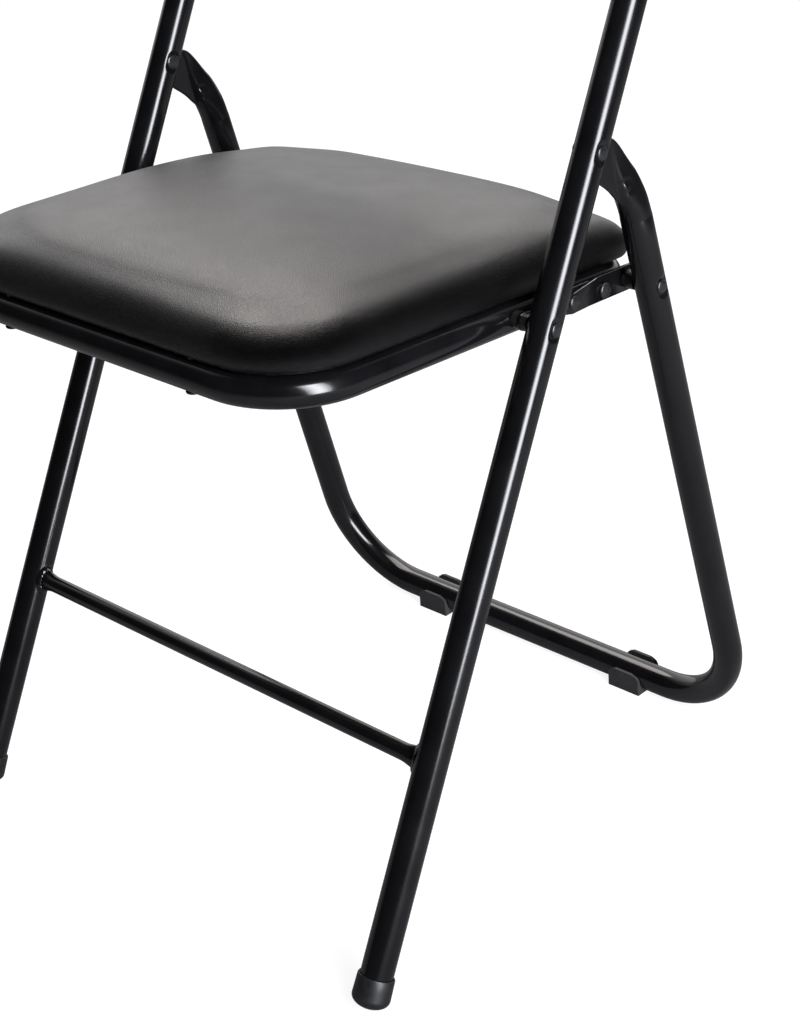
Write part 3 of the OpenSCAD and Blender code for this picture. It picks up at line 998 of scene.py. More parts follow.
        self.shop.piece("crossbar", bar.finish(flatten), FRAME_COAT, Body.FRONT,
                        self.plan.front_plane, "front_crossbar")
        for side in Side:
            self.weld(side, radius)

    def weld(self, side: Side, bar_r: float) -> None:
        """Lays the bead of weld round one end of the crossbar.

        Args:
            side: The side.
            bar_r: The crossbar's radius.
        """
        bm = bmesh.new()
        bmesh.ops.create_circle(bm, segments=10, radius=self.weld_r,
                                matrix=Matrix.Translation((0, bar_r * self.bar_thin, 0)))
        spin(bm)
        for vert in bm.verts:
            turn = math.atan2(vert.co.z, vert.co.y)
            wrap = self.radius - math.sqrt(self.radius ** 2 - min(vert.co.y, self.radius) ** 2)
            vert.co.x += (wrap * self.weld_wrap
                          + self.weld_ripple * math.sin(self.weld_waves * turn))
            vert.co.z *= self.weld_tall
        self.shop.piece(f"{side.label}_crossbar_weld", bm, FRAME_COAT, Body.FRONT,
                        on_side(self.plan.front_plane, side,
                                (self.wall_x - self.weld_sink, 0, self.crossbar_s)))

    def foot_cap(self, side: Side) -> None:
        """Turns one rubber cap: a domed sole, a wall that tapers a little and a thin rim.

        Args:
            side: The side.
        """
        sole, rim = self.cap_sole, self.cap_rim
        length = self.cap_top - self.cap_s
        top_r = self.radius + self.cap_wall
        bore_r = self.radius - 0.0003
        profile: list[Point] = [(0.0, 0.0)]
        for step in range(1, 8):
            angle = math.pi / 2 * step / 8
            profile.append((self.cap_r * math.sin(angle), sole * (1 - math.cos(angle))))
        profile += [(self.cap_r, sole), (self.cap_r, sole + rim),
                    (mix(self.cap_r, top_r, 0.5), mix(sole, length, 0.5)),
                    (top_r, length - rim), (top_r - 0.0003, length - 0.0002),
                    (top_r - rim, length), (self.radius + 0.0002, length - 0.0004),
                    (bore_r, length - 0.0015), (bore_r, sole), (0.0, sole)]
        stand = (on_side(self.plan.front_plane, side, (self.axis_x, 0, self.cap_s))
                 @ Matrix.Rotation(-math.pi / 2, 4, "Y"))
        self.shop.piece(f"{side.label}_foot_cap_rubber", lathe(profile), CAP_RUBBER,
                        Body.FRONT, stand, f"{side.label}_foot_cap")

    def rivets(self, side: Side) -> None:
        """Sets the hinge rivet and the seat rivet of one side.

        Args:
            side: The side.
        """
        head_x = self.axis_x + self.radius - DIMPLE_DEPTH
        for name, along in (("hinge_rivet", self.hinge_s), ("seat_pivot_rivet", self.seat_s)):
            node = f"{side.label}_{name}"
            inner, _ = self.plan.depth(node)
            self.shop.steel(node, self.rivet.profile(inner + self.rivet.tail_h, head_x),
                            Body.FRONT, on_side(self.plan.front_plane, side, (0, 0, along)))
        self.shop.carry(self.plan.frame["nodes"][f"{side.label}_pivot_spacer"], RIVET_COAT)


@dataclass
class Blade:
    """The end of a rear leg, pressed flat on both sides so that it enters the upright.

    The middles are points of its middle line: how far they are behind the leg, how far below
    the hinge, and half the width there. The spans are where a form comes in below the hinge,
    but the ridge's is behind it.
    """

    hinge_y: float
    hinge_s: float
    radius: float
    half_t: float = 0.0016
    end_r: float = 0.0088
    neck: float = 0.068
    rim: float = 0.0012
    pit_y: float = -0.0095
    pit_drop: float = 0.0385
    pit_depth: float = 0.0005
    pit_half: Point = (0.0095, 0.0075)
    swell_low: float = 0.14
    swell_span: Point = (0.008, 0.074)
    crease_ends: Point = (-0.0134, -0.0164)
    crease_span: Point = (0.008, 0.042)
    ridge_powers: Point = (3.0, 2.0)
    power_span: Point = (0.030, 0.066)
    ridge_span: Point = (0.0125, 0.0200)
    flat_span: Point = (0.045, 0.066)
    middles: tuple[Triple, ...] = (
        (-0.0016, 0.0505, 0.0116), (-0.0071, 0.0350, 0.0131), (-0.0193, 0.0129, 0.0156))

    def __post_init__(self) -> None:
        """Works out the middle line's points, half the width at each, and its directions."""
        self.neck_s = self.hinge_s - self.neck
        rows = [(Vector((0, 0, self.neck_s)), self.radius)]
        rows += [(Vector((0, y, self.hinge_s - drop)), half) for y, drop, half in self.middles]
        pivot = Vector((0, self.hinge_y, self.hinge_s))
        lead = (pivot - rows[-1][0]).normalized()
        self.rows = [*rows, (pivot, self.end_r), (pivot + lead * self.end_r, 0.0)]
        points = [point for point, _ in self.rows]
        self.length = sum((b - a).length for a, b in zip(points, points[1:]))
        around = zip([points[0], *points], [*points[1:], points[-1]])
        self.leads = [(after - before).normalized() for before, after in around]
        self.leads[0] = Vector((0, 0, 1))
        self.leads[-2] = self.leads[-1] = (points[-1] - points[-2]).normalized()

    def spine(self, run: float) -> tuple[Vector, Vector, float]:
        """Gives a place on the middle line, which is a smooth curve through its points.

        Args:
            run: The distance from the neck.

        Returns:
            The point, the direction there and half the width.
        """
        last = len(self.rows) - 2
        for i, ((a, half_a), (b, half_b)) in enumerate(zip(self.rows, self.rows[1:])):
            span = (b - a).length
            if run <= span or i == last:
                break
            run -= span
        t = min(run / span, 1.0)
        lead_a, lead_b = self.leads[i] * span, self.leads[i + 1] * span
        point = (a * (2 * t ** 3 - 3 * t ** 2 + 1) + lead_a * (t ** 3 - 2 * t ** 2 + t)
                 + b * (3 * t ** 2 - 2 * t ** 3) + lead_b * (t ** 3 - t ** 2))
        lead = (a * (6 * t * t - 6 * t) + lead_a * (3 * t * t - 4 * t + 1)
                + b * (6 * t - 6 * t * t) + lead_b * (3 * t * t - 2 * t))
        if i == last:
            half = half_a * math.sqrt(max(1 - t * t, 0.0))
        else:
            half = mix(half_a, half_b, smooth_step(t))
        return point, lead.normalized(), half

    def half_thickness(self, place: Vector, side: Vector, half: float, across: float) -> float:
        """Gives half the blade's thickness at a place of its side view.

        The round side of the tube runs up into the blade and ends at a crease.

        Args:
            place: The place.
            side: The direction across the blade there.
            half: Half the blade's width there.
            across: The place's share of that half width, from -1 at the front to 1.

        Returns:
            Half the thickness.
        """
        drop = self.hinge_s - place.z
        swell = mix(self.swell_low, 1.0, smooth_step(drop, *self.swell_span))
        rise = mix(self.half_t, self.radius, swell)
        crease_y = mix(*self.crease_ends, smooth_step(drop, *self.crease_span))
        crease = max((crease_y - place.y) / (side.y * half) + across, -1.0)
        along = min(max((2 * across - 1 - crease) / (1 - crease), -1.0), 1.0)
        power = mix(*self.ridge_powers, smooth_step(drop, *self.power_span))
        ridge = rise * (1 - abs(along) ** power) ** (1 / power)
        ridge *= smooth_step(place.y - self.hinge_y, *self.ridge_span)
        edge = half * (1 - abs(across)) / self.rim
        flat = self.half_t * math.sqrt(max(1 - (1 - min(edge, 1.0)) ** 2, 0.0))
        flat *= 1 - smooth_step(drop, *self.flat_span)
        away = math.hypot((place.y - self.pit_y) / self.pit_half[0],
                          (drop - self.pit_drop) / self.pit_half[1])
        pit = self.pit_depth * (1 - smooth_step(away, 0.35, 1.0)) * smooth_step(away, 0.0, 0.75)
        return max(flat, ridge - pit, 0.0)


@dataclass
class RearFrame:
    """The bent rear tube with pressed blades at its ends, its floor pads and link rivets."""

    plan: Plan
    shop: Workshop
    rivet: Rivet = Rivet(0.0035)
    tip_share: float = 0.9995
    edge_gain: float = 60.0
    spacer_edge: float = 0.0005
    spacer_sink: float = 0.0004
    pad_wall: float = 0.0025
    pad_round: float = 0.007
    pad_front: float = 0.005
    pad_lip: float = 0.0002

    def __post_init__(self) -> None:
        """Works out the tube's axis, bends and blade from the frame."""
        plan, lean = self.plan, self.plan.rear_lean
        self.radius, self.axis_x = plan.tube("left_rear_leg")
        self.bar_s = (plan.box("rear_floor_bow")[0].z + self.radius) / math.cos(lean)
        leg_low = plan.box("left_rear_leg")[0].z
        self.leg_start = (leg_low + self.radius * math.sin(lean)) / math.cos(lean)
        self.link_s = plan.local(plan.rear_plane, plan.leg_pin).z
        pivot = plan.local(plan.rear_plane, plan.hinge)
        self.blade = Blade(pivot.y, pivot.z, self.radius)

    def build(self) -> None:
        """Makes every piece of the rear frame."""
        self.tube()
        for side in Side:
            self.link_rivet(side)
            self.floor_pad(side)

    def tube(self) -> None:
        """Bends the one rear tube and presses its ends into blades."""
        bend_r = self.leg_start - self.bar_s
        tube = BentTube(self.radius, (0, 0, self.bar_s), sides=96)
        tube.run(self.axis_x - bend_r, 8)
        tube.turn(bend_r, (0, 0, 1), 24)
        tube.run(self.link_s - DIMPLE_HALF - self.leg_start, 10)
        tube.run(2 * DIMPLE_HALF, DIMPLE_RINGS)
        tube.run(self.blade.neck_s - self.link_s - DIMPLE_HALF, 3)
        tube.run(self.blade.length * self.tip_share, 150)
        dimple = Dimple(self.link_s, self.axis_x, self.radius - DIMPLE_DEPTH)
        self.shop.piece("rear_tube", tube.finish(dimple.press, self.flatten), FRAME_COAT,
                        Body.REAR, self.plan.rear_plane, "left_rear_leg", "right_rear_leg",
                        "rear_floor_bow", "left_rear_blade", "right_rear_blade")

    def flatten(self, point: Vector) -> Vector:
        """Presses the straight end of the tube into a blade that leans to the upright.

        Args:
            point: A point of the straight tube.

        Returns:
            Its place after the pressing.
        """
        run = point.z - self.blade.neck_s
        if run <= 0 or point.x < self.axis_x - self.radius * 1.01:
            return point
        middle, lead, half = self.blade.spine(run)
        side = Vector((0, lead.z, -lead.y))
        turn = math.atan2(point.y, point.x - self.axis_x)
        across = math.sin(turn)
        place = middle + side * (across * half)
        thick = self.blade.half_thickness(place, side, half, across)
        facing = math.cos(turn)
        spread = math.copysign(min(abs(facing) * self.edge_gain, 1.0), facing)
        return Vector((self.axis_x + thick * spread, place.y, place.z))

    def link_rivet(self, side: Side) -> None:
        """Sets the rivet and spacer that hold the link to one rear leg.

        Args:
            side: The side.
        """
        node = f"{side.label}_link_rivet"
        low, high = self.plan.box(node)
        inner, _ = self.plan.depth(node)
        spacer_r = (high.z - low.z) / 2
        seat_x = self.axis_x - self.radius + self.spacer_sink
        spacer = [(0.0, inner), (spacer_r - self.spacer_edge, inner),
                  (spacer_r, inner + self.spacer_edge), (spacer_r, seat_x),
                  (self.rivet.shank_r, seat_x)]
        head = self.rivet.head(self.axis_x + self.radius - DIMPLE_DEPTH)
        self.shop.steel(node, spacer + head, Body.REAR,
                        on_side(self.plan.rear_plane, side, (0, 0, self.link_s)))

    def floor_pad(self, side: Side) -> None:
        """Moulds one saddle pad: a flat sole, a round cradle and two tabs with round corners.

        Args:
            side: The side.
        """
        node = f"{side.label}_floor_pad"
        low, high = self.plan.box(node)
        bar = self.plan.rear_plane @ Vector((0, 0, self.bar_s))
        half_l = (high.x - low.x) / 2
        outer = self.radius + self.pad_wall
        front_up, back_up, lip = self.pad_front, high.z - bar.z, self.pad_lip

        def wall(y: float, start: float, end: float) -> list[Point]:
            """Gives the points of an upright wall."""
            return [(y, mix(start, end, step / 4)) for step in range(5)]

        outline = [(-outer, -bar.z), (outer, -bar.z), *wall(outer, 0, back_up),
                   *wall(self.radius, back_up, lip)]
        arc = 16
        for step in range(arc + 1):
            angle = -math.pi * step / arc
            outline.append((self.radius * math.cos(angle), self.radius * math.sin(angle)))
        outline += [*wall(-self.radius, lip, front_up), *wall(-outer, front_up, 0)]
        bm = bmesh.new()
        verts = [bm.verts.new((-half_l, y, z)) for y, z in outline]
        edges = [bm.edges.new(pair) for pair in zip(verts, verts[1:] + verts[:1])]
        steps = 12
        for _ in range(steps):
            edges = draw_on(bm, edges, Vector((2 * half_l / steps, 0, 0)))
        sew(bm)
        bmesh.ops.holes_fill(bm, edges=[edge for edge in bm.edges if edge.is_boundary], sides=0)
        for vert in bm.verts:
            up = vert.co.z - (front_up if vert.co.y < 0 else back_up) + self.pad_round
            if up > 0:
                rest = math.sqrt(max(self.pad_round ** 2 - up ** 2, 0.0))
                vert.co.x *= (half_l - self.pad_round + rest) / half_l
        place = Matrix.Translation(((low.x + high.x) / 2, bar.y, bar.z))
        self.shop.piece(f"{node}_rubber", bm, PAD_RUBBER, Body.REAR, place, node)


@dataclass
class SeatFrame:
    """The seat's tube ring, its board and the brackets and bushes at its sides."""

    plan: Plan
    shop: Workshop
    rivet: Rivet = Rivet(0.0035, tail_r=0.0049, tail_h=0.0016)
    tube_r: float = 0.011
    front_r: float = 0.058
    rear_r: float = 0.030
    ring_drop: float = 0.002
    hem_w: float = 0.014
    hem_t: float = 0.0007
    hem_drop: float = 0.0009
    hem_lap: float = 0.001
    eye_r: float = 0.0065
    arm_up: float = 0.006
    arm_down: float = 0.004
    nose_r: float = 0.0075
    lobe_up: float = 0.0115
    lobe_down: float = 0.006
    lobe_r: float = 0.028
    board_inset: float = 0.020
    board_t: float = 0.008

    def __post_init__(self) -> None:
        """Works out the ring's reach to the front and the rear."""
        plan, fall = self.plan, self.plan.seat_fall
        low, high = plan.box("seat_ring")
        self.out = high.x
        self.pin = plan.local(plan.seat_plane, plan.link_pin)
        sunk = self.ring_drop * math.sin(fall)
        self.front = (plan.seat_pivot.y - sunk - low.y - self.tube_r) / math.cos(fall)
        self.rear = (high.y - self.tube_r - plan.seat_pivot.y + sunk) / math.cos(fall)
        self.board_z = self.tube_r - self.ring_drop

    def build(self) -> None:
        """Makes every piece of the seat but its cushion."""
        self.ring()
        self.board()
        self.hem()
        for side in Side:
            self.bracket(side)
        for name in ("seat_screws", "left_bracket_bush", "right_bracket_bush",
                     "left_link_washers", "right_link_washers"):
            self.shop.carry(self.plan.frame["nodes"][name], RIVET_COAT)

    def ring(self) -> None:
        """Bends the tube ring under the cushion."""
        tube = BentTube(self.tube_r, (0, -self.front, -self.ring_drop), sides=48)
        axis_x = self.out - self.tube_r
        tube.run(axis_x - self.front_r, 4)
        tube.turn(self.front_r, (0, 1, 0), 18)
        tube.run(self.front + self.rear - self.front_r - self.rear_r, 8)
        tube.turn(self.rear_r, (-1, 0, 0), 18)
        tube.run(axis_x - self.rear_r, 4)
        self.shop.piece("seat_ring_tube", tube.finish(closed=False), FRAME_COAT, Body.SEAT,
                        self.plan.seat_plane, "seat_ring")

    def outline(self, inset: float, z: float, rear_bend: float | None = None) -> BMesh:
        """Cuts the seat's rounded outline as one face.

        Args:
            inset: How far inside the ring's outer edge it runs.
            z: Its height in the seat plane.
            rear_bend: The radius of its rear corners, or the ring's where none is given.

        Returns:
            The face.
        """
        half = self.out - inset
        front = self.front + self.tube_r - inset
        rear = self.rear + self.tube_r - inset
        front_bend = self.front_r + self.tube_r - inset
        rear_bend = rear_bend or self.rear_r + self.tube_r - inset
        bm, corners = sheet([(half, -front, z), (half, rear, z), (-half, rear, z),
                             (-half, -front, z)])
        for corner, bend in zip(corners, (front_bend, rear_bend, rear_bend, front_bend)):
            round_corner(bm, corner, bend, 16)
        return bm

    def board(self) -> None:
        """Cuts the plywood board."""
        bm = self.outline(self.board_inset, self.board_z)
        thicken(bm, (0, 0, self.board_t))
        self.shop.piece("seat_board_ply", bm, SEAT_WOOD, Body.SEAT, self.plan.seat_plane,
                        "seat_board")

    def hem(self) -> None:
        """Folds the cover's edge in under the board, inside the tube ring."""
        bm = self.outline(2 * self.tube_r - self.hem_lap, self.board_z - self.hem_drop)
        inner = bmesh.ops.inset_region(bm, faces=bm.faces[:], thickness=self.hem_w,
                                       use_boundary=True, use_even_offset=True)["faces"]
        bmesh.ops.delete(bm, geom=[face for face in bm.faces if face not in inner],
                         context="FACES")
        thicken(bm, (0, 0, self.hem_t))
        self.shop.piece("seat_cover_hem", bm, SEAT_VINYL, Body.SEAT, self.plan.seat_plane)

    def bracket(self, side: Side) -> None:
        """Cuts one bracket plate and sets the rivet that the link turns on.

        Args:
            side: The side.
        """
        node, rivet = f"{side.label}_seat_bracket", f"{side.label}_bracket_rivet"
        x0, x1 = self.plan.depth(node)
        v, w, eye, nose = self.pin.y, self.pin.z, self.eye_r, self.nose_r
        reach_up = math.sqrt(self.lobe_r ** 2 - self.lobe_up ** 2)
        reach_down = math.sqrt(self.lobe_r ** 2 - self.lobe_down ** 2)
        corners = [(-eye, eye, eye * 0.98), (-eye, -eye, eye * 0.98), (eye * 0.8, -eye, 0.003),
                   (eye * 0.95, -self.arm_down, 0.003),
                   (v - nose * 0.92, -self.arm_down, 0.0015),
                   (v - nose * 0.8, w - nose, nose * 0.6), (v, w - nose, 0.002),
                   (v + reach_down, w - self.lobe_down, 0.002),
                   (v + self.lobe_r, w - 0.001, 0.012), (v + self.lobe_r, w + 0.002, 0.012),
                   (v + reach_up, w + self.lobe_up, 0.002), (v, self.arm_up, 0.004),
                   (eye, self.arm_up, 0.001)]
        self.shop.piece(f"{node}_plate", plate(corners, x0, x1), FRAME_COAT, Body.SEAT,
                        on_side(self.plan.seat_plane, side), node)
        inner, _ = self.plan.depth(rivet)
        self.shop.steel(rivet, self.rivet.profile(inner + self.rivet.tail_h, x1), Body.SEAT,
                        on_side(self.plan.seat_plane, side, (0, v, w)))


@dataclass
class Padding:
    """Foam under a cover: a soft block that is swollen from inside."""

    voxel: float = 0.005
    pressure: float = 4.0
    cap: float = 0.004
    frames: int = 20
    evening: int = 30
    stretch: float = 18.0
    bend: float = 2.0

    def block(self, name: str, bm: BMesh, voxel: float) -> Object:
        """Turns a block into an evenly meshed object.

        Args:
            name: The object's name.
            bm: The block, which is freed.
            voxel: The size of its mesh.

        Returns:
            The object.
        """
        bmesh.ops.recalc_face_normals(bm, faces=bm.faces)
        obj = to_object(name, bm)
        apply_modifier(obj, "REMESH", mode="VOXEL", voxel_size=voxel)
        return obj

    def blown(self, obj: Object, held: list[int]) -> list[Vector]:
        """Blows an object up as cloth.

        Args:
            obj: The object.
            held: The numbers of the points that stay.

        Returns:
            The places of its points at the last frame.
        """
        obj.vertex_groups.new(name="held").add(held, 1.0, "REPLACE")
        cloth = obj.modifiers.new("swell", "CLOTH")
        cloth.settings.effector_weights.gravity = 0
        cloth.settings.use_pressure = True
        cloth.settings.uniform_pressure_force = self.pressure
        cloth.settings.vertex_group_mass = "held"
        cloth.settings.tension_stiffness = self.stretch
        cloth.settings.compression_stiffness = self.stretch
        cloth.settings.bending_stiffness = self.bend
        cloth.point_cache.frame_end = self.frames
        for frame in range(1, self.frames + 1):
            bpy.context.scene.frame_set(frame)
        bpy.context.view_layer.update()
        swollen = obj.evaluated_get(bpy.context.evaluated_depsgraph_get())
        after = [vert.co.copy() for vert in swollen.data.vertices]
        obj.modifiers.remove(cloth)
        obj.vertex_groups.clear()
        bpy.context.scene.frame_set(1)
        return after

    def swell(self, obj: Object, held: Callable[[Vector], bool]) -> None:
        """Swells a block, with moves that are evened out and limited.

        Args:
            obj: The block, at the origin.
            held: Says which points of it lie on the board and stay.
        """
        apply_modifier(obj, "REMESH", mode="VOXEL", voxel_size=self.voxel)
        before = [vert.co.copy() for vert in obj.data.vertices]
        after = self.blown(obj, [i for i, place in enumerate(before) if held(place)])
        moves = [new - old for old, new in zip(before, after)]
        links: list[list[int]] = [[] for _ in moves]
        for edge in obj.data.edges:
            first, second = edge.vertices
            links[first].append(second)
            links[second].append(first)
        for _ in range(self.evening):
            moves = [sum((moves[j] for j in near), moves[i] * 2) / (len(near) + 2)
                     for i, near in enumerate(links)]
        for vert, old, move in zip(obj.data.vertices, before, moves):
            if move.length > self.cap:
                move = move.normalized() * self.cap
            vert.co = old + move

    def relax(self, obj: Object, rounds: int) -> None:
        """Evens out a mesh.

        Args:
            obj: The object.
            rounds: How many times each point moves towards its neighbours.
        """
        bm = bmesh.new()
        bm.from_mesh(obj.data)
        for _ in range(rounds):
            bmesh.ops.smooth_vert(bm, verts=bm.verts, factor=0.5, use_axis_x=True,
                                  use_axis_y=True, use_axis_z=True)
        bm.to_mesh(obj.data)
        bm.free()


@dataclass
class SeatCushion:
    """The crowned vinyl cushion of the seat."""

    plan: Plan
    shop: Workshop
    seat: SeatFrame
    padding: Padding = field(default_factory=Padding)
    inset: float = 0.0015
    rear_bend: float = 0.018
    lift: float = 0.0008
    rim_t: float = 0.031
    crown: float = 0.0145
    crown_power: float = 2.3
    shoulder: float = 0.017
    tuck: float = 0.003
    corner_drop: float = 0.006
    lean: float = 0.004
    held: float = 0.004

    def build(self) -> None:
        """Makes the cushion."""
        seat, power = self.seat, self.crown_power
        base = seat.board_z + self.lift
        bm = seat.outline(self.inset, base, self.rear_bend)
        thicken(bm, (0, 0, self.rim_t))
        ease(bm, level(bm, 2, base + self.rim_t), self.shoulder, 8)
        ease(bm, level(bm, 2, base), self.tuck, 3)
        obj = self.padding.block("seat_cushion_vinyl", bm, self.padding.voxel)
        half_x = seat.out - self.inset
        middle_y = (seat.rear - seat.front) / 2
        half_y = (seat.front + seat.rear) / 2 + seat.tube_r - self.inset
        for vert in obj.data.vertices:
            across = min(abs(vert.co.x) / half_x, 1)
            along = min(abs(vert.co.y - middle_y) / half_y, 1)
            dome = (1 - across ** power) * (1 - along ** power)
            corner = smooth_step(across * along, 0.5, 0.95)
            height = max(vert.co.z - base, 0) / self.rim_t
            rear = smooth_step(vert.co.y, middle_y, seat.rear)
            lean = self.lean * rear * vert.co.x / half_x
            vert.co.z += ((self.crown * dome - self.corner_drop * corner + lean)
                          * smooth_step(height, 0.15, 1.0))
        self.padding.swell(obj, lambda place: place.z < base + self.held)
        self.padding.relax(obj, 4)
        self.shop.upholster(obj, SEAT_VINYL, Body.SEAT, self.plan.seat_plane, "seat_cushion")


@dataclass
class BackPanel:
    """The curved back panel between the uprights."""

    plan: Plan
    shop: Workshop
    front: FrontFrame
    padding: Padding = field(default_factory=Padding)
    curve_r: float = 1.1
    low_r: float = 0.034
    top_r: float = 0.0515
    board_t: float = 0.009
    board_edge: float = 0.003
    board_voxel: float = 0.003
    pad_t: float = 0.019
    pad_inset: float = 0.002
    pad_edge: float = 0.010
    pad_voxel: float = 0.004
    crown: float = 0.004
    held: float = 0.003
    height: float = 0.172
    gap: float = 0.0025
    screw_in: float = 0.009

    def __post_init__(self) -> None:
        """Works out the panel's outline and how deep its curve is between the uprights."""
        self.half_x = self.front.axis_x - self.front.radius - self.gap
        self.top = self.front.bow_s - self.front.radius - self.gap
        self.low = self.top - self.height
        held_x = self.half_x - self.screw_in
        self.sag = self.curve_r - math.sqrt(self.curve_r ** 2 - held_x ** 2)

    def build(self) -> None:
        """Makes the covered board and the cushion in front of it."""
        self.shell()
        self.cushion()
        self.shop.carry(self.plan.frame["nodes"]["back_screws"], RIVET_COAT)

    def blank(self, inset: float, y0: float, y1: float, edge: float, segments: int) -> BMesh:
        """Cuts a flat panel with rounded corners and edges.

        Args:
            inset: How far inside the panel's outline it runs.
            y0: Its front face.
            y1: Its rear face.
            edge: The radius of its edges.
            segments: The number of steps round an edge.

        Returns:
            The panel.
        """
        half, low, top = self.half_x - inset, self.low + inset, self.top - inset
        bm, verts = sheet([(-half, y0, low), (half, y0, low), (half, y0, top),
                           (-half, y0, top)])
        for vert, radius in zip(verts, (self.low_r, self.low_r, self.top_r, self.top_r)):
            round_corner(bm, vert, radius - inset, 12)
        thicken(bm, (0, y1 - y0, 0))
        ease(bm, level(bm, 1), edge, segments)
        return bm

    def curve(self, obj: Object) -> None:
        """Bends a flat panel round the sitter's back and evens its mesh out.

        Args:
            obj: The panel.
        """
        for vert in obj.data.vertices:
            vert.co.y += math.sqrt(self.curve_r ** 2 - vert.co.x ** 2) - self.curve_r + self.sag
        self.padding.relax(obj, 3)

    def shell(self) -> None:
        """Makes the board with its cover drawn over the rear."""
        half_t = self.board_t / 2
        obj = self.padding.block("back_board_vinyl",
                                 self.blank(0, -half_t, half_t, self.board_edge, 4),
                                 self.board_voxel)
        self.curve(obj)
        self.shop.upholster(obj, BACK_VINYL, Body.FRONT, self.plan.front_plane, "back_board",
                            padded=False)

    def cushion(self) -> None:
        """Makes the crowned cushion on the board's front."""
        face = -self.board_t / 2
        blank = self.blank(self.pad_inset, face - self.pad_t, face, self.pad_edge, 6)
        obj = self.padding.block("back_cushion_vinyl", blank, self.pad_voxel)
        middle = self.low + self.height / 2
        for vert in obj.data.vertices:
            across = min(abs(vert.co.x) / self.half_x, 1)
            along = min(abs(vert.co.z - middle) / (self.height / 2), 1)
            dome = (1 - across ** 3) * (1 - along ** 2.5)
            share = smooth_step((face - vert.co.y) / self.pad_t, 0.2, 1.0)
            vert.co.y -= self.crown * dome * share
        self.padding.swell(obj, lambda place: place.y > face - self.held)
        self.curve(obj)
        self.shop.upholster(obj, SEAT_VINYL, Body.FRONT, self.plan.front_plane,
                            "back_cushion")


@dataclass
class Linkage:
    """The flat links between the seat brackets and the rear legs."""

    plan: Plan
    shop: Workshop
    half_w: float = 0.00925
    tail: float = 0.0145
    end_r: float = 0.0062
    pin_r: float = 0.004

    def build(self) -> None:
        """Makes both links with their stop pins and tails."""
        for side in Side:
            self.link(side)
            self.stop_pin(side)
            self.shop.carry(self.plan.frame["nodes"][f"{side.label}_link_tail"], RIVET_COAT)

    def link(self, side: Side) -> None:
        """Cuts one link.

        Args:
            side: The side.
        """
        node = f"{side.label}_link"
        pin, leg, half = self.plan.link_pin, self.plan.leg_pin, self.half_w
        end = math.hypot(leg.y - pin.y, leg.z - pin.z) + self.tail
        corners = [(-half, -half, half * 0.98), (end, -half, self.end_r),
                   (end, half, self.end_r), (-half, half, half * 0.98)]
        self.shop.piece(f"{node}_plate", plate(corners, *self.plan.depth(node)), FRAME_COAT,
                        side.link_body, on_side(self.plan.link_plane, side), node)

    def stop_pin(self, side: Side) -> None:
        """Turns one stop pin: a shank under a domed head.

        Args:
            side: The side.
        """
        node = f"{side.label}_stop_pin"
        low, high = self.plan.box(node)
        inner, outer = self.plan.depth(node)
        middle = self.plan.local(self.plan.link_plane, self.plan.centre(node))
        pin = Rivet(self.pin_r, head_r=(high.z - low.z) / 2)
        self.shop.steel(node, pin.profile(inner, outer - pin.head_h), side.link_body,
                        on_side(self.plan.link_plane, side, (0, middle.y, middle.z)))


# Studio ------------------------------------------------------------------------------------


@dataclass(frozen=True)
class Lamp:
    """A flat soft lamp beside the chair, aimed at a height over the origin."""

    name: str
    at: Triple
    aim_z: float
    size: Point
    power: float
    colour: Triple

    def hang(self) -> Object:
        """Adds the lamp to the scene.

        Returns:
            The lamp.
        """
        data = bpy.data.lights.new(self.name, "AREA")
        data.shape = "RECTANGLE"
        data.size, data.size_y = self.size
        data.energy = self.power
        data.color = self.colour
        lamp = bpy.data.objects.new(self.name, data)
        facing = Vector((0, 0, self.aim_z)) - Vector(self.at)
        lamp.rotation_euler = facing.to_track_quat("-Z", "Y").to_euler()
        lamp.location = self.at
        bpy.context.scene.collection.objects.link(lamp)
        return lamp


OVERHEAD = Lamp("overhead", (-0.8, 0.9, 2.3), 0.4, (1.8, 1.8), 54, (1.0, 0.94, 0.91))
# The strips overlap, so that together they are brightest in the middle.
STRIPS = tuple(
    Lamp(f"tall_strip_{i}", (2.15, -0.53, 1.25), 0.45, (width, 2.6), power, (0.93, 0.95, 1.0))
    for i, (width, power) in enumerate(((0.33, 62), (0.66, 92), (1.0, 78))))


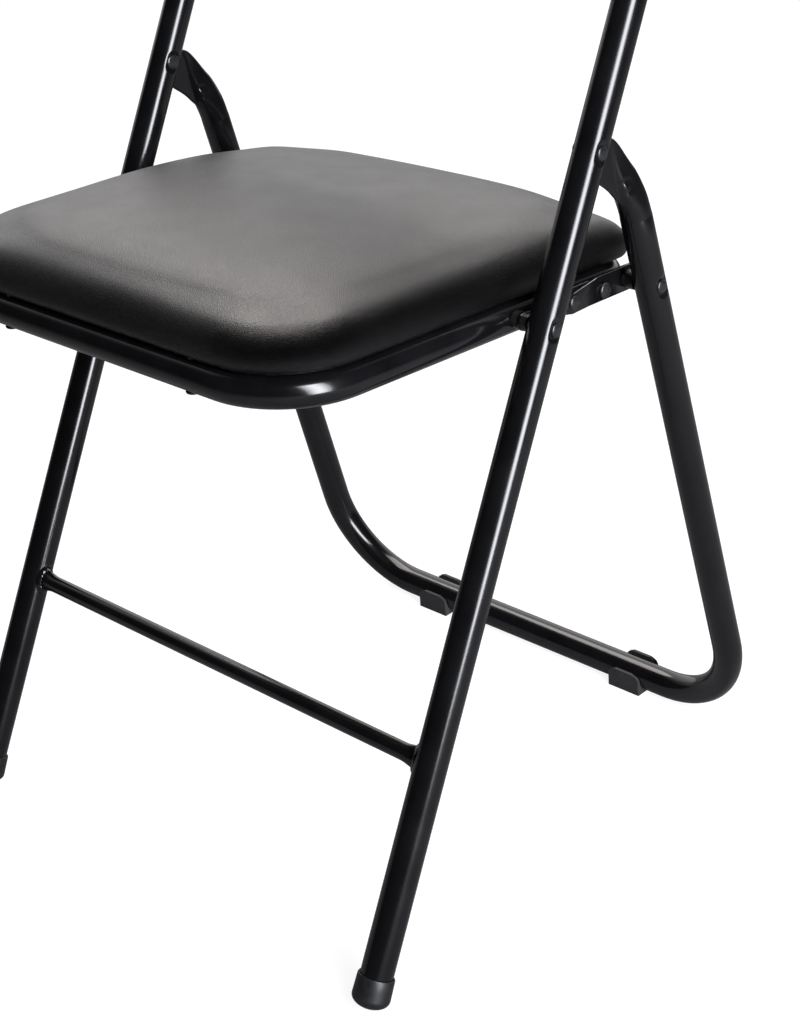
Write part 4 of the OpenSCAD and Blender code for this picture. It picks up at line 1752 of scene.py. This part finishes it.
@dataclass
class Studio:
    """A white floor and backdrop, soft lamps and the camera."""

    azimuth: float = math.radians(45.72)
    elevation: float = math.radians(22.96)
    roll: float = math.radians(-4.98)
    camera_at: Triple = (1.10447, -0.98769, 0.98932)
    lens: float = 77.83
    shift: Point = (-0.0082, -0.179)
    floor_half: float = 9.0
    floor_shade: Triple = (0.16, 0.16, 0.165)
    floor_glow: float = 0.89
    dim: float = 0.03
    bright: float = 1.5
    backdrop_tilt: float = 0.15
    backdrop_span: Point = (0.35, 0.88)

    def build(self) -> None:
        """Makes the floor, the world, the lamps and the camera."""
        self.floor()
        self.world()
        OVERHEAD.hang()
        self.strips = [strip.hang() for strip in STRIPS]
        self.camera()
        bpy.context.scene.view_settings.view_transform = "Standard"

    def axes(self) -> tuple[Vector, Vector, Vector]:
        """Works out how the camera is turned.

        Returns:
            The camera's right, up and backward directions.
        """
        sin_a, cos_a = math.sin(self.azimuth), math.cos(self.azimuth)
        sin_e, cos_e = math.sin(self.elevation), math.cos(self.elevation)
        back = Vector((sin_a * cos_e, -cos_a * cos_e, sin_e))
        right = Vector((cos_a, sin_a, 0))
        up = back.cross(right)
        turned_right = right * math.cos(self.roll) + up * math.sin(self.roll)
        turned_up = up * math.cos(self.roll) - right * math.sin(self.roll)
        return turned_right, turned_up, back

    def camera(self) -> None:
        """Sets the camera up."""
        data = bpy.data.cameras.new("camera")
        data.lens = self.lens
        data.sensor_width = 36
        data.shift_x, data.shift_y = self.shift
        data.clip_end = 100
        camera = bpy.data.objects.new("camera", data)
        turn = Matrix(self.axes()).transposed().to_4x4()
        camera.matrix_world = Matrix.Translation(self.camera_at) @ turn
        bpy.context.scene.collection.objects.link(camera)
        bpy.context.scene.camera = camera

    def floor(self) -> None:
        """Lays the white floor, which shows white and keeps soft shadows."""
        bm = bmesh.new()
        bmesh.ops.create_grid(bm, x_segments=2, y_segments=2, size=self.floor_half)
        obj = to_object("floor", bm)
        paint = Paint("white_floor")
        paint.feed(paint.shader, Base_Color=(*self.floor_shade, 1), Roughness=0.9,
                   Specular_IOR_Level=0.0)
        seen = paint.add("ShaderNodeLightPath").outputs["Is Camera Ray"]
        glow = paint.add("ShaderNodeEmission", Color=(1, 1, 1, 1),
                         Strength=paint.remap(seen, 0, self.floor_glow, 0, 1))
        both = paint.add("ShaderNodeAddShader")
        for source, target in zip((paint.shader, glow), both.inputs):
            paint.tree.links.new(source.outputs[0], target)
        paint.feed(paint.tree.nodes["Material Output"], Surface=both.outputs[0])
        obj.data.materials.append(paint.material)

    def world(self) -> None:
        """Makes the white surroundings: bright behind the chair, dim on the near side."""
        world = bpy.data.worlds.new("studio")
        bpy.context.scene.world = world
        world.use_nodes = True
        world.node_tree.nodes.clear()
        graph = Graph(world.node_tree)
        dot = graph.add("ShaderNodeVectorMath")
        dot.operation = "DOT_PRODUCT"
        back = self.axes()[2]
        dot.inputs[1].default_value = (-back.x, -back.y, self.backdrop_tilt)
        graph.tree.links.new(graph.places["Generated"], dot.inputs[0])
        ramp = graph.remap(dot.outputs["Value"], self.dim, self.bright, *self.backdrop_span,
                           smooth=True)
        seen = graph.add("ShaderNodeLightPath").outputs["Is Camera Ray"]
        strength = graph.add("ShaderNodeMix", Factor=seen, A=ramp, B=1.0)
        background = graph.add("ShaderNodeBackground", Strength=strength.outputs["Result"])
        graph.add("ShaderNodeOutputWorld", Surface=background.outputs[0])

    def flag(self, *shaded: str) -> None:
        """Keeps the tall strips' light off some pieces, as a black card beside them does.

        Args:
            shaded: The names of the pieces.
        """
        group = bpy.data.collections.new("shaded_from_strips")
        for name in shaded:
            group.objects.link(bpy.data.objects[name])
        for strip in self.strips:
            strip.light_linking.receiver_collection = group
        for entry in group.collection_objects:
            entry.light_linking.link_state = "EXCLUDE"


def main() -> None:
    """Builds the chair and its studio around the frame."""
    logging.basicConfig(level=logging.INFO, format="%(name)s: %(message)s")
    plan = Plan(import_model())
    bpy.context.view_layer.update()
    shop = Workshop()
    studio = Studio()
    studio.build()
    front = FrontFrame(plan, shop)
    front.build()
    BackPanel(plan, shop, front).build()
    RearFrame(plan, shop).build()
    seat = SeatFrame(plan, shop)
    seat.build()
    SeatCushion(plan, shop, seat).build()
    Linkage(plan, shop).build()
    studio.flag("seat_cushion_vinyl", "back_cushion_vinyl")


if __name__ == "__main__":
    main()
